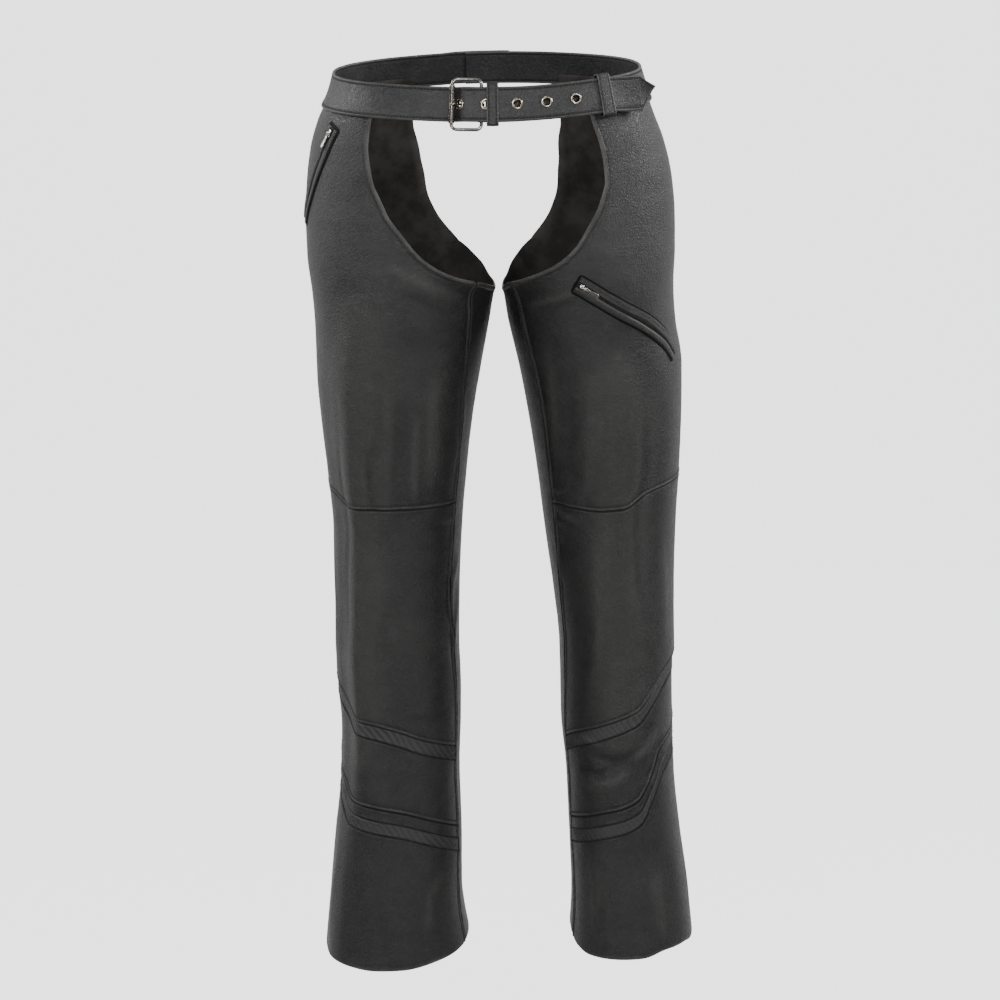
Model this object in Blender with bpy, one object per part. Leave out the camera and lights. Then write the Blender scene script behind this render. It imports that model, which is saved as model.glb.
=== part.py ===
"""Leather riding chaps: two open-seat legs sewn under a belt with a roller buckle.

Metres, +Z up. The origin is the centre of the waist ring at mid-belt height. -Y is the
front, +X is the wearer's left. Each leg is a wall through sections read from LEG_ROWS, and
its panels are cut from that surface along seam lines. A place on a leg is an angle round
the leg's centre (0 inner side, 90 front, 180 outer side, 270 back, in degrees) and a
height. A place on the belt is an arc length from the front centre, a rise above the belt's
mid line and a lift off the body.
"""

import math

import bmesh
import bpy
import numpy as np
from mathutils import Matrix, Vector

MM = 0.001

# Leather and cloth
WALL = 2.0 * MM
BAND_WALL = 1.2 * MM
BAND_RECESS = 0.5 * MM
SEAM_HALF_GAP = 0.15 * MM
# Least sine of the angle between an edge and the grid lines that meet it
LEAST_LEAN = 0.3
LAY_GAP = 0.55 * MM

# Belt and its hardware
STRAP = 3.0 * MM
STRAP_HALF_HEIGHT = 18.4 * MM
# Step between the rows of the inner strap round the waist
STRAP_STEP = 14.0 * MM
BELT_REST = 2.0 * MM
LAP_HALF = 25.0 * MM
LAP_STEP = 3.6 * MM
LAP_RUN_OUT = 7.0 * MM
TUCK = 12.0 * MM
TAIL_TIP = 184.0 * MM
TIP_LENGTH = 14.0 * MM
TIP_HALF_HEIGHT = 3.0 * MM
WIRE = 1.85 * MM
HEEL_BAR_ARC = -6.0 * MM
HEEL_BAR_LIFT = 4.9 * MM
ROLLER_ARC = -37.2 * MM
ROLLER_LIFT = 6.95 * MM
ROLLER_RADIUS = 3.1 * MM
ROLLER_BORE = 2.15 * MM
ROLLER_HALF_LENGTH = 20.0 * MM
FRAME_HALF_HEIGHT = 26.1 * MM
FRAME_CORNER = 5.5 * MM
LOOP_RADIUS = 3.25 * MM
SLOT_HALF = 3.5 * MM
PRONG_HALF_WIDTH = 1.5 * MM
PRONG_THICKNESS = 1.5 * MM
PRONG_EYE = 2.8 * MM
KEEPER_LEATHER = 1.1 * MM
KEEPER_LIFT = 0.85 * MM
KEEPER_HALF_HEIGHT = 22.4 * MM
KEEPER_CORNER = 2.6 * MM
HOLE_RADIUS = 4.1 * MM
HOLE_CELL = 7.0 * MM
HOLE_SIDES = 16

# Leg seams, in degrees round the leg
OUTER_SEAM = 200.0
FULL_TURN = 360.0
MM_PER_DEGREE = 1.6
SECTION_POWER = 2.35
BAND_HEIGHT = {"upper": 17.0, "lower": 15.5}
STRIP_HEIGHT = 15.0
FRONT_COLUMNS = 16
BACK_COLUMNS = 12
ROWS = {
    "cuff": 5,
    "lower_band": 1,
    "strip": 1,
    "calf": 4,
    "upper_band": 1,
    "shin": 7,
    "thigh": 8,
    "hip": 11,
}

ROW_ORDER = ("cuff", "lower_band", "strip", "calf", "upper_band", "shin", "thigh")

SIDE = {"right": -1.0, "left": 1.0}

# Sections of the two legs in mm, from the waist down. Above the crotch the inner edges run
# on into the body, so that both legs share one waist section.
# height, right outer, right inner, left inner, left outer, front, back
LEG_ROWS = (
    (45, -160.0, 158.0, -160.0, 158.0, -108, 114),
    (30, -166.0, 164.0, -166.0, 164.0, -112, 118),
    (0, -175.5, 173.0, -175.5, 173.0, -117, 123),
    (-30, -190.5, 183.5, -190.5, 183.5, -122, 127),
    (-60, -200.0, 188.0, -191.0, 194.5, -125, 130),
    (-100, -205.5, 165.0, -160.0, 203.0, -128, 131),
    (-140, -208.0, 110.0, -100.0, 206.0, -129, 130),
    (-180, -207.5, 50.0, -35.0, 205.5, -128, 126),
    (-220, -203.5, 3.5, 10.0, 203.5, -125, 121),
    (-260, -201.5, -5.0, 17.0, 205.5, -121, 115),
    (-310, -201.5, -15.5, 27.5, 212.0, -115, 108),
    (-370, -198.0, -26.0, 37.5, 211.0, -106, 101),
    (-430, -193.5, -34.5, 45.5, 208.0, -96, 93),
    (-500, -189.0, -41.5, 53.0, 204.0, -85, 84),
    (-570, -190.0, -46.0, 61.5, 201.5, -78, 88),
    (-640, -192.5, -48.5, 68.0, 202.0, -72, 94),
    (-680, -191.5, -47.5, 68.5, 199.0, -69, 96),
    (-730, -189.0, -48.5, 68.5, 199.0, -67, 97),
    (-800, -192.0, -52.0, 73.5, 200.5, -66, 97),
    (-870, -201.0, -51.5, 75.5, 206.5, -66, 97),
    (-940, -209.0, -52.5, 77.5, 215.0, -68, 98),
    (-1030, -219.0, -40.5, 71.0, 223.0, -70, 99),
)

# Where the inseam runs: height in mm, angle on the right leg, angle on the left leg
INSEAM_ROWS = (
    (-203, 52, 43),
    (-260, 47, 45),
    (-340, 43, 45),
    (-420, 39, 42),
    (-500, 38, 40),
    (-575, 39, 36),
    (-640, 30, 33),
    (-750, 29, 28),
    (-865, 24, 23),
    (-1000, 22, 22),
)

# Edge of the open front, from the crotch up to the belt: angle, height in mm
FRONT_EDGE = {
    "right": ((52, -203), (69, -193), (89, -174), (110, -144), (125, -118), (136, -86),
              (140.5, -55), (142, -13)),
    "left": ((43, -207), (57, -200), (79, -184), (98, -163), (114, -138), (125, -118),
             (134, -92), (138, -60), (137.5, -13)),
}
# Edge of the open seat, from the crotch round behind and up to the belt
SEAT_EDGE = ((385, -215), (360, -221), (335, -219), (310, -205), (290, -186), (267, -152),
             (251, -118), (241, -83), (235, -48), (233, -6))
# Where that edge turns upward, how many columns of the back end on it below the turn, and
# the row of the mesh that runs from the turn to the outer seam
SEAT_TURN = 4
SEAT_COLUMNS = 7
SEAT_ROW = ((265, -200), (240, -206))
CROTCH_LEVEL = -200.0 * MM

# Seams across the front of each leg: angle, height in mm
KNEE_LINE = {
    "right": ((20, -459), (90, -459), (123, -457), (151, -445), (200, -436)),
    "left": ((20, -460), (59, -463), (81, -466), (99, -462), (118, -447), (149, -440),
             (200, -437)),
}
UPPER_BAND_LINE = {
    "right": ((20, -763), (52, -748), (72, -738), (89, -728), (108, -720), (126, -714),
              (138, -700), (152, -686), (175, -668), (200, -652)),
    "left": ((20, -755), (50, -738), (75, -726), (95, -715), (106, -708), (118, -689),
             (137, -665), (154, -655), (175, -647), (200, -640)),
}
LOWER_BAND_LINE = {
    "right": ((20, -876), (45, -862), (63, -852), (88, -840), (123, -832), (135, -829),
              (150, -812), (175, -790), (200, -772)),
    "left": ((20, -867), (45, -858), (70, -848), (91, -840), (103, -831), (116, -802),
             (129, -773), (157, -757), (200, -740)),
}
HEM_LINE = {
    "right": ((10, -998), (32, -1003), (55, -1009), (87, -1017), (119, -1018), (145, -1013),
              (166, -1008), (200, -1002), (270, -999), (330, -994), (370, -998), (400, -1004)),
    "left": ((9, -993), (37, -1004), (53, -1009), (79, -1010), (97, -1009), (118, -1001),
             (139, -1000), (151, -1002), (200, -1002), (270, -1000), (330, -994), (369, -993),
             (400, -1005)),
}

# The largest folds, each a soft ridge (+) or trough (-) between two places on a leg.
# leg, angle, height mm, angle, height mm, lift mm, half width mm
FOLDS = (
    ("right", 118, -230, 124, -1000, 2.6, 15),
    ("right", 138, -250, 143, -980, -1.6, 15),
    ("right", 60, -270, 51, -470, 2.4, 20),
    ("right", 84, -250, 78, -440, -1.4, 22),
    ("right", 100, -165, 50, -232, -1.4, 9),
    ("right", 96, -190, 48, -250, 1.5, 9),
    ("right", 20, -560, 34, -640, 2.0, 14),
    ("right", 60, -700, 74, -960, -1.2, 20),
    ("right", 300, -470, 240, -490, -2.2, 13),
    ("right", 310, -505, 235, -520, 1.8, 12),
    ("right", 262, -280, 270, -440, 1.8, 22),
    ("right", 238, -560, 246, -960, 1.8, 20),
    ("right", 300, -620, 290, -930, -1.5, 20),
    ("left", 104, -300, 97, -640, 2.4, 15),
    ("left", 124, -310, 118, -620, -1.6, 15),
    ("left", 82, -470, 68, -700, 2.2, 18),
    ("left", 66, -260, 60, -450, -1.4, 20),
    ("left", 92, -200, 46, -236, 1.2, 9),
    ("left", 120, -870, 126, -1000, -1.6, 16),
    ("left", 70, -880, 64, -1000, 1.5, 18),
    ("left", 300, -465, 245, -480, -2.0, 13),
    ("left", 306, -500, 238, -512, 1.7, 12),
    ("left", 280, -290, 262, -430, 1.7, 22),
    ("left", 236, -580, 242, -950, 1.6, 20),
    ("left", 296, -640, 300, -940, -1.5, 20),
)

# Slanted pockets: the mouth's centre line as angle and height in mm
THIGH_POCKET = ((86.5, -202), (95, -218), (105, -233), (117, -248), (127, -262), (136, -277),
                (142, -292))
HIP_POCKET = ((157, -33), (160, -60), (163.5, -90), (167, -118), (170, -138))
MOUTH_HALF = 3.3 * MM
WELT_WIDTH = 6.5 * MM
WELT_EDGE_LIFT = 1.5 * MM
WELT_CREST_LIFT = 2.1 * MM
ZIP_HALF = 3.0 * MM
ZIP_LIFT = 1.15 * MM
ZIP_RIDGE = 0.3 * MM

# Zip slider and pull tab in mm: steps along the zip, across it and out from the leg
SLIDER_STEPS = (
    (-4.5, -2.4, -1.3, 1.3, 2.4, 4.5),
    (-2.8, -0.8, 0.8, 2.8),
    (1.75, 3.1, 4.7, 5.5),
)
TAB_STEPS = (
    (-0.5, 0.5, 4.0, 17.5, 19.0),
    (-2.5, -1.6, -1.2, 1.2, 1.6, 2.5),
    (3.45, 4.35),
)
HINGE_OUT = 3.9 * MM
SLIDER_FROM_END = 8.0 * MM

# Centre line of the belt's outer strap, which carries the tip: arc mm, lift mm, how far it
# droops in mm, how far its top edge leans out in mm.
TAIL_LINE = (
    (-60.0, 2.0, 0.0, 0.0),
    (-41.0, 2.0, 0.0, 0.0),
    (-34.0, 2.6, 0.0, 0.0),
    (-23.2, 10.9, 0.0, 0.0),
    (-17.0, 11.3, 0.0, 0.0),
    (12.5, 11.2, 0.0, 0.0),
    (31.5, 9.5, 0.0, 0.0),
    (52.0, 7.2, 0.0, 0.0),
    (108.0, 7.2, 0.0, 0.0),
    (136.5, 7.2, 0.6, 0.0),
    (144.0, 7.7, 1.4, 0.6),
    (152.0, 8.9, 2.5, 1.6),
    (160.0, 10.8, 3.8, 2.7),
    (168.0, 13.3, 5.0, 3.6),
    (176.0, 16.4, 6.3, 4.4),
    (184.0, 20.4, 7.6, 5.0),
)
# Eyelets on it: centre arc mm, half length of their cell along the arc in mm
EYELETS = ((-28.6, 5.4), (-1.0, 7.0), (31.5, 7.0), (63.0, 7.0), (94.5, 7.0))
TAIL_STOPS = (-60, -50, -41, -17, 12.5, 47, 79, 108, 121.5, 129, 136.5, 144, 152, 160, 170, 177,
              184)
# Turned section of an eyelet: radius mm, lift from the strap's mid plane mm
EYELET_SECTION = (
    (3.0, -2.0), (5.0, -2.0), (5.0, -1.65), (3.75, -1.65), (3.75, 1.65), (6.0, 1.65),
    (5.2, 2.25), (3.3, 2.2),
)
# Centre line of the buckle's strap before and after its loop round the heel bar:
# arc mm, lift mm, thickness mm
BUCKLE_STRAP_IN = (
    (165.0, 2.0, 3.0),
    (154.0, 2.0, 3.0),
    (145.0, 3.0, 3.0),
    (136.5, 3.2, 3.0),
    (129.0, 3.2, 3.0),
    (121.5, 3.2, 3.0),
    (108.0, 3.2, 3.0),
    (95.0, 3.2, 3.0),
    (81.0, 3.2, 3.0),
    (67.0, 3.2, 3.0),
    (54.0, 3.2, 3.0),
    (44.0, 4.2, 2.8),
    (34.0, 5.9, 2.2),
    (24.0, 6.0, 2.0),
    (14.0, 6.0, 2.0),
    (3.5, 6.9, 2.0),
)
BUCKLE_STRAP_BACK = (
    (-3.5, 2.1, 2.0),
    (-0.5, 2.9, 2.0),
    (10.0, 3.25, 2.0),
    (22.0, 3.25, 2.0),
    (34.0, 3.25, 2.0),
)
# Prong after its eye, along the buckle: arc mm, lift mm
PRONG_LINE = (
    (-10.0, 7.6), (-14.0, 6.6), (-20.0, 5.6), (-24.1, 5.6), (-28.6, 6.6), (-32.1, 8.4),
    (-35.1, 10.8), (-38.8, 11.7),
)
# Keeper loops: name, first arc mm, last arc mm, lift of the outer side mm
KEEPERS = (("keeper_inner", -0.5, 12.0, 14.5), ("keeper_outer", 121.5, 136.5, 9.9))

# Finishes: base colour, roughness, metallic
FINISHES = {
    "leather": ((0.030, 0.030, 0.029, 1.0), 0.42, 0.0),
    "belt_leather": ((0.036, 0.036, 0.037, 1.0), 0.50, 0.0),
    "band_cloth": ((0.052, 0.054, 0.055, 1.0), 0.65, 0.0),
    "antique_metal": ((0.46, 0.43, 0.39, 1.0), 0.30, 1.0),
    "eyelet_metal": ((0.50, 0.42, 0.30, 1.0), 0.32, 1.0),
    "zip_tape": ((0.012, 0.012, 0.013, 1.0), 0.75, 0.0),
}
SHARP_ANGLE = math.radians(40.0)


# --- Curves and surfaces ---------------------------------------------------------------


def smooth_through(knots, values, at):
    """Read a curve that runs smoothly through the rows and never overshoots them."""
    order = np.argsort(knots)
    x = np.asarray(knots, float)[order]
    y = np.asarray(values, float)[order]
    step = np.diff(x)
    slope = np.diff(y) / step
    total = slope[:-1] + slope[1:]
    turning = slope[:-1] * slope[1:] <= 0.0
    inner = np.where(turning, 0.0, 2.0 * slope[:-1] * slope[1:] / np.where(turning, 1.0, total))
    tangent = np.concatenate([slope[:1], inner, slope[-1:]])
    at = np.clip(np.asarray(at, float), x[0], x[-1])
    k = np.clip(np.searchsorted(x, at, side="right") - 1, 0, len(x) - 2)
    t = (at - x[k]) / step[k]
    start = (2 * t**3 - 3 * t**2 + 1) * y[k] + (t**3 - 2 * t**2 + t) * step[k] * tangent[k]
    end = (3 * t**2 - 2 * t**3) * y[k + 1] + (t**3 - t**2) * step[k] * tangent[k + 1]
    return start + end


def table_column(rows, column):
    """One column of a table of rows."""
    return [row[column] for row in rows]


def unit(vectors):
    """Vectors scaled to length 1."""
    return vectors / np.linalg.norm(vectors, axis=-1, keepdims=True)


def leg_surface(leg, angle, height):
    """Points of the smooth leg: a rounded section about the leg's centre line."""
    angle, height = np.broadcast_arrays(np.asarray(angle, float), np.asarray(height, float))
    outer_column, inner_column = (1, 2) if leg == "right" else (4, 3)
    knots = table_column(LEG_ROWS, 0)

    def read(column):
        return smooth_through(knots, table_column(LEG_ROWS, column), height / MM) * MM

    outer, inner, front, back = read(outer_column), read(inner_column), read(5), read(6)
    half_width = np.abs(outer - inner) / 2
    half_depth = (back - front) / 2
    turn = np.radians(angle)
    reach = (
        np.abs(np.cos(turn) / half_width) ** SECTION_POWER
        + np.abs(np.sin(turn) / half_depth) ** SECTION_POWER
    ) ** (-1.0 / SECTION_POWER)
    x = (outer + inner) / 2 - SIDE[leg] * reach * np.cos(turn)
    y = (front + back) / 2 - reach * np.sin(turn)
    return np.stack([x, y, height], axis=-1)


def leg_steps(leg, angle, height):
    """How a point of the leg moves per degree and per metre of height."""
    per_degree = leg_surface(leg, angle + 0.4, height) - leg_surface(leg, angle - 0.4, height)
    per_metre = leg_surface(leg, angle, height + MM) - leg_surface(leg, angle, height - MM)
    return per_degree / 0.8, per_metre / (2 * MM)


def leg_normal(leg, angle, height):
    """Outward unit normals of the smooth leg."""
    per_degree, per_metre = leg_steps(leg, np.asarray(angle, float), np.asarray(height, float))
    return unit(np.cross(per_degree, per_metre) * SIDE[leg])


def fold_lift(leg, angle, height):
    """Height of the folds over the smooth leg: round-ended ridges and troughs."""
    lift = np.zeros(np.broadcast(angle, height).shape)
    for fold_leg, angle_a, height_a, angle_b, height_b, rise, half_width in FOLDS:
        if fold_leg != leg:
            continue
        across = ((angle - angle_a + 180.0) % FULL_TURN - 180.0) * MM_PER_DEGREE
        along = height / MM - height_a
        run_across = (angle_b - angle_a) * MM_PER_DEGREE
        run_along = height_b - height_a
        length = math.hypot(run_across, run_along)
        share = np.clip((across * run_across + along * run_along) / length**2, 0.0, 1.0)
        off = np.hypot(across - share * run_across, along - share * run_along)
        taper = 1.0 - (2.0 * share - 1.0) ** 4
        lift += rise * MM * taper * np.exp(-((off / half_width) ** 2))
    return lift


def on_leg(leg, angle, height, lift):
    """Points at a lift off the folded leg."""
    folded = fold_lift(leg, angle, height) + lift
    return leg_surface(leg, angle, height) + leg_normal(leg, angle, height) * folded[..., None]


def belt_height(turn):
    """Height of the belt's mid line at a turn from the front centre, in degrees."""
    tail_sag = 2.0 * np.exp(-(((turn - 15.0) / 35.0) ** 2))
    return (3.4 - 9.2 * np.cos(np.radians(turn)) - tail_sag) * MM


def waist_point(turn, rise):
    """Point of the body behind the belt."""
    return leg_surface("right", 90.0 - turn, belt_height(turn) + rise)


TURNS = np.linspace(-200.0, 200.0, 801)
_STEPS = np.linalg.norm(np.diff(waist_point(TURNS, 0.0), axis=0), axis=1)
ARCS = np.concatenate([[0.0], np.cumsum(_STEPS)])
ARCS = ARCS - np.interp(0.0, TURNS, ARCS)
HALF_WAIST = float(np.interp(180.0, TURNS, ARCS))


def on_belt(arc, rise, lift):
    """Points at an arc length, a rise square to the mid line and a lift off the body."""
    arc, rise, lift = np.broadcast_arrays(arc, rise, lift)
    turn = np.interp(arc, ARCS, TURNS)
    run = unit(waist_point(turn + 0.5, 0.0) - waist_point(turn - 0.5, 0.0))
    slide = np.sum((waist_point(turn, rise) - waist_point(turn, 0.0)) * run, axis=-1)
    turn = np.interp(arc - slide, ARCS, TURNS)
    along = waist_point(turn + 0.5, rise) - waist_point(turn - 0.5, rise)
    up = waist_point(turn, rise + MM) - waist_point(turn, rise - MM)
    return waist_point(turn, rise) + unit(np.cross(along, up)) * lift[..., None]


# --- Solids ----------------------------------------------------------------------------


def make_object(name, vertices, faces, finish):
    """One closed body from points and faces, with its own material, shaded smooth."""
    bm = bmesh.new()
    corners = [bm.verts.new(point) for point in vertices]
    for face in faces:
        bm.faces.new([corners[k] for k in face])
    loose = [vert for vert in bm.verts if not vert.link_faces]
    bmesh.ops.delete(bm, geom=loose, context="VERTS")
    bmesh.ops.recalc_face_normals(bm, faces=bm.faces)
    mesh = bpy.data.meshes.new(name)
    bm.to_mesh(mesh)
    bm.free()
    mesh.shade_smooth()
    mesh.set_sharp_from_angle(angle=SHARP_ANGLE)
    material = bpy.data.materials.new(name + "_" + finish)
    material.use_nodes = True
    colour, roughness, metallic = FINISHES[finish]
    shader = material.node_tree.nodes["Principled BSDF"]
    shader.inputs["Base Color"].default_value = colour
    shader.inputs["Roughness"].default_value = roughness
    shader.inputs["Metallic"].default_value = metallic
    mesh.materials.append(material)
    obj = bpy.data.objects.new(name, mesh)
    bpy.context.scene.collection.objects.link(obj)
    return obj


def shell_faces(keep, closed):
    """Faces of a wall between an outer and an inner grid, over the cells that are kept."""
    rows, columns = keep.shape
    points_across = columns + 1
    point_rows = rows if closed else rows + 1
    layer = point_rows * points_across

    def corner(j, i, side):
        return side * layer + (j % point_rows) * points_across + i

    def kept(j, i):
        if closed:
            j = j % rows
        return 0 <= j < rows and 0 <= i < columns and keep[j, i]

    faces = []
    for j in range(rows):
        for i in range(columns):
            if not keep[j, i]:
                continue
            for side in (0, 1):
                faces.append([corner(j, i, side), corner(j, i + 1, side),
                              corner(j + 1, i + 1, side), corner(j + 1, i, side)])
            rims = (
                (kept(j - 1, i), (j, i), (j, i + 1)),
                (kept(j + 1, i), (j + 1, i), (j + 1, i + 1)),
                (kept(j, i - 1), (j, i), (j + 1, i)),
                (kept(j, i + 1), (j, i + 1), (j + 1, i + 1)),
            )
            for has_neighbour, a, b in rims:
                if not has_neighbour:
                    faces.append([corner(*a, 0), corner(*b, 0), corner(*b, 1), corner(*a, 1)])
    return faces


def make_shell(name, outer, inner, finish, keep=None, closed=False):
    """A wall between two grids of points; closed joins the last row to the first."""
    rows, columns = outer.shape[0], outer.shape[1] - 1
    if keep is None:
        keep = np.ones((rows if closed else rows - 1, columns), bool)
    vertices = np.concatenate([outer.reshape(-1, 3), inner.reshape(-1, 3)])
    return make_object(name, vertices, shell_faces(keep, closed), finish)


def make_ring(name, grid, finish):
    """A ring-shaped body from a grid whose rows and columns both close on themselves."""
    rows, columns = grid.shape[:2]
    faces = []
    for j in range(rows):
        for i in range(columns):
            right, up = (i + 1) % columns, (j + 1) % rows
            faces.append([j * columns + i, j * columns + right,
                          up * columns + right, up * columns + i])
    return make_object(name, grid.reshape(-1, 3), faces, finish)


def make_blocks(name, steps, filled, frame, finish):
    """A body of bricks: steps are plane positions along three axes, filled says which."""
    planes = [np.asarray(axis_steps, float) * MM for axis_steps in steps]
    points = np.stack(np.meshgrid(*planes, indexing="ij"), axis=-1)
    count = points.shape[:3]

    def corner(place):
        return int(np.ravel_multi_index(place, count))

    faces = []
    for cell in np.argwhere(filled):
        for axis in range(3):
            side_axes = [k for k in range(3) if k != axis]
            for end in (0, 1):
                beyond = cell.copy()
                beyond[axis] += 2 * end - 1
                inside = 0 <= beyond[axis] < filled.shape[axis]
                if inside and filled[tuple(beyond)]:
                    continue
                ring = []
                for a, b in ((0, 0), (1, 0), (1, 1), (0, 1)):
                    place = cell.copy()
                    place[axis] += end
                    place[side_axes[0]] += a
                    place[side_axes[1]] += b
                    ring.append(corner(tuple(place)))
                faces.append(ring)
    origin, axes = frame
    return make_object(name, origin + points.reshape(-1, 3) @ axes, faces, finish)


def seam_pull(grid, sides):
    """Draw a grid in on the named sides by half a seam, square to each edge."""
    grid = grid.copy()
    for side in sides:
        view = grid.transpose(1, 0, 2) if side in ("first", "last") else grid
        view = view[::-1] if side in ("top", "last") else view
        edge = view[0].copy()
        run = unit(np.gradient(edge, axis=0))
        inward = view[1] - edge
        length = np.linalg.norm(inward, axis=1, keepdims=True)
        square = inward - run * np.sum(inward * run, axis=1, keepdims=True)
        lean = np.linalg.norm(square, axis=1, keepdims=True) / length
        view[0] = edge + inward / length * SEAM_HALF_GAP / np.maximum(lean, LEAST_LEAN)
    return grid


# --- Leg panels ------------------------------------------------------------------------


def inseam_angle(leg, height):
    """Angle of the inseam at a height."""
    column = 1 if leg == "right" else 2
    knots = table_column(INSEAM_ROWS, 0)
    return smooth_through(knots, table_column(INSEAM_ROWS, column), height / MM)


def read_line(rows, angle, shift=0.0):
    """Height of a cross seam at an angle, moved up by a shift in mm."""
    return (smooth_through(table_column(rows, 0), table_column(rows, 1), angle) + shift) * MM


def tuck_line(leg, angle):
    """Height of a panel's top, which is tucked up behind the belt."""
    return belt_height(SIDE[leg] * (angle - 90.0)) - STRAP_HALF_HEIGHT + TUCK


def cross_lines(leg):
    """Cross seams of a leg's front from the hem up to the knee, as height functions."""
    upper, lower, knee = UPPER_BAND_LINE[leg], LOWER_BAND_LINE[leg], KNEE_LINE[leg]
    return (
        lambda angle: read_line(HEM_LINE[leg], angle),
        lambda angle: read_line(lower, angle, -BAND_HEIGHT["lower"]),
        lambda angle: read_line(lower, angle),
        lambda angle: read_line(lower, angle, STRIP_HEIGHT),
        lambda angle: read_line(upper, angle, -BAND_HEIGHT["upper"]),
        lambda angle: read_line(upper, angle),
        lambda angle: read_line(knee, angle),
    )


def line_places(leg, line, shares):
    """Angles and heights of a cross seam at shares of the way from inseam to outer seam."""
    start = 30.0
    for _ in range(8):
        start = float(inseam_angle(leg, line(np.asarray(start))))
    angles = start + shares * (OUTER_SEAM - start)
    return np.stack([angles, line(angles)], axis=-1)


def resample(places, count):
    """Even steps along a run of places, which are angle in degrees and height in metres."""
    places = np.asarray(places, float)
    scaled = places * np.array([MM_PER_DEGREE * MM, 1.0])
    steps = np.linalg.norm(np.diff(scaled, axis=0), axis=1)
    run = np.concatenate([[0.0], np.cumsum(steps)])
    fine = np.linspace(0.0, run[-1], 400)
    smooth = np.stack([smooth_through(run, places[:, k], fine) for k in (0, 1)], axis=-1)
    scaled = smooth * np.array([MM_PER_DEGREE * MM, 1.0])
    fine_run = np.concatenate([[0.0], np.cumsum(np.linalg.norm(np.diff(scaled, axis=0), axis=1))])
    at = np.linspace(0.0, fine_run[-1], count + 1)
    return np.stack([np.interp(at, fine_run, smooth[:, k]) for k in (0, 1)], axis=-1)


def edge_places(rows):
    """Table rows of angle and height in mm as places in degrees and metres."""
    return np.asarray(rows, float) * np.array([1.0, MM])


def patch(bottom, top, first, last):
    """Fill in a four-sided patch of places between its four sides."""
    across = np.linspace(0.0, 1.0, len(bottom))[None, :, None]
    up = np.linspace(0.0, 1.0, len(first))[:, None, None]
    sides = (1 - across) * first[:, None] + across * last[:, None]
    bottom_bend = bottom - ((1 - across[0]) * bottom[0] + across[0] * bottom[-1])
    top_bend = top - ((1 - across[0]) * top[0] + across[0] * top[-1])
    return sides + (1 - up) * bottom_bend[None] + up * top_bend[None]


def hip_top(leg, from_angle, columns):
    """Places along a panel's tucked top, from its free edge to the outer seam."""
    angles = np.linspace(from_angle, OUTER_SEAM, columns + 1)
    return np.stack([angles, tuck_line(leg, angles)], axis=-1)


def front_pieces(leg):
    """The front of a leg as grids of places, from the hem up: name to grid."""
    shares = np.linspace(0.0, 1.0, FRONT_COLUMNS + 1)
    lines = [line_places(leg, line, shares) for line in cross_lines(leg)]
    pieces = {}
    for name, low, high in zip(ROW_ORDER, lines[:-1], lines[1:]):
        up = np.linspace(0.0, 1.0, ROWS[name] + 1)[:, None]
        heights = (1 - up) * low[None, :, 1] + up * high[None, :, 1]
        start = inseam_angle(leg, heights[:, :1])
        angles = start + shares[None] * (OUTER_SEAM - start)
        pieces[name] = np.stack([angles, heights], axis=-1)
    knee = lines[-1]
    edge = edge_places(FRONT_EDGE[leg])
    edge[-1, 1] = tuck_line(leg, edge[-1, 0])
    heights = np.linspace(knee[0, 1], edge[0, 1], ROWS["thigh"] + 1)
    inseam = np.stack([inseam_angle(leg, heights), heights], axis=-1)
    inseam[-1] = edge[0]
    first = np.concatenate([inseam[:-1], resample(edge, ROWS["hip"])])
    top = hip_top(leg, edge[-1, 0], FRONT_COLUMNS)
    below = np.linspace(knee[-1, 1], CROTCH_LEVEL, ROWS["thigh"] + 1)
    above = np.linspace(CROTCH_LEVEL, top[-1, 1], ROWS["hip"] + 1)
    last_heights = np.concatenate([below[:-1], above])
    last = np.stack([np.full(len(first), OUTER_SEAM), last_heights], axis=-1)
    pieces["thigh"] = patch(knee, top, first, last)
    return pieces


def back_grids(leg, front):
    """The back of a leg as two grids: below the seat's edge, and beside its rise."""
    rows = sum(ROWS.values()) - ROWS["hip"]
    columns = BACK_COLUMNS - SEAT_COLUMNS
    first = np.concatenate([front[name][:-1, 0] for name in ROW_ORDER] + [front["thigh"][-1:, 0]])
    last = np.concatenate([front[name][:-1, -1] for name in ROW_ORDER] + [front["thigh"][-1:, -1]])
    first = first[:rows + 1] + np.array([FULL_TURN, 0.0])
    seat = edge_places(SEAT_EDGE)
    seat[-1, 1] = tuck_line(leg, seat[-1, 0])
    turn = seat[SEAT_TURN:SEAT_TURN + 1]
    low = resample(np.concatenate([first[-1:], seat[:SEAT_TURN], turn]), SEAT_COLUMNS)
    row = resample(np.concatenate([turn, edge_places(SEAT_ROW), last[rows:rows + 1]]), columns)
    hem_angles = np.linspace(first[0, 0], OUTER_SEAM, BACK_COLUMNS + 1)
    hem = np.stack([hem_angles, read_line(HEM_LINE[leg], hem_angles)], axis=-1)
    lower = patch(hem, np.concatenate([low[:-1], row]), first, last[:rows + 1])
    rise = resample(seat[SEAT_TURN:], ROWS["hip"])
    upper = patch(row, hip_top(leg, seat[-1, 0], columns), rise, last[rows:])
    return lower, upper


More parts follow.
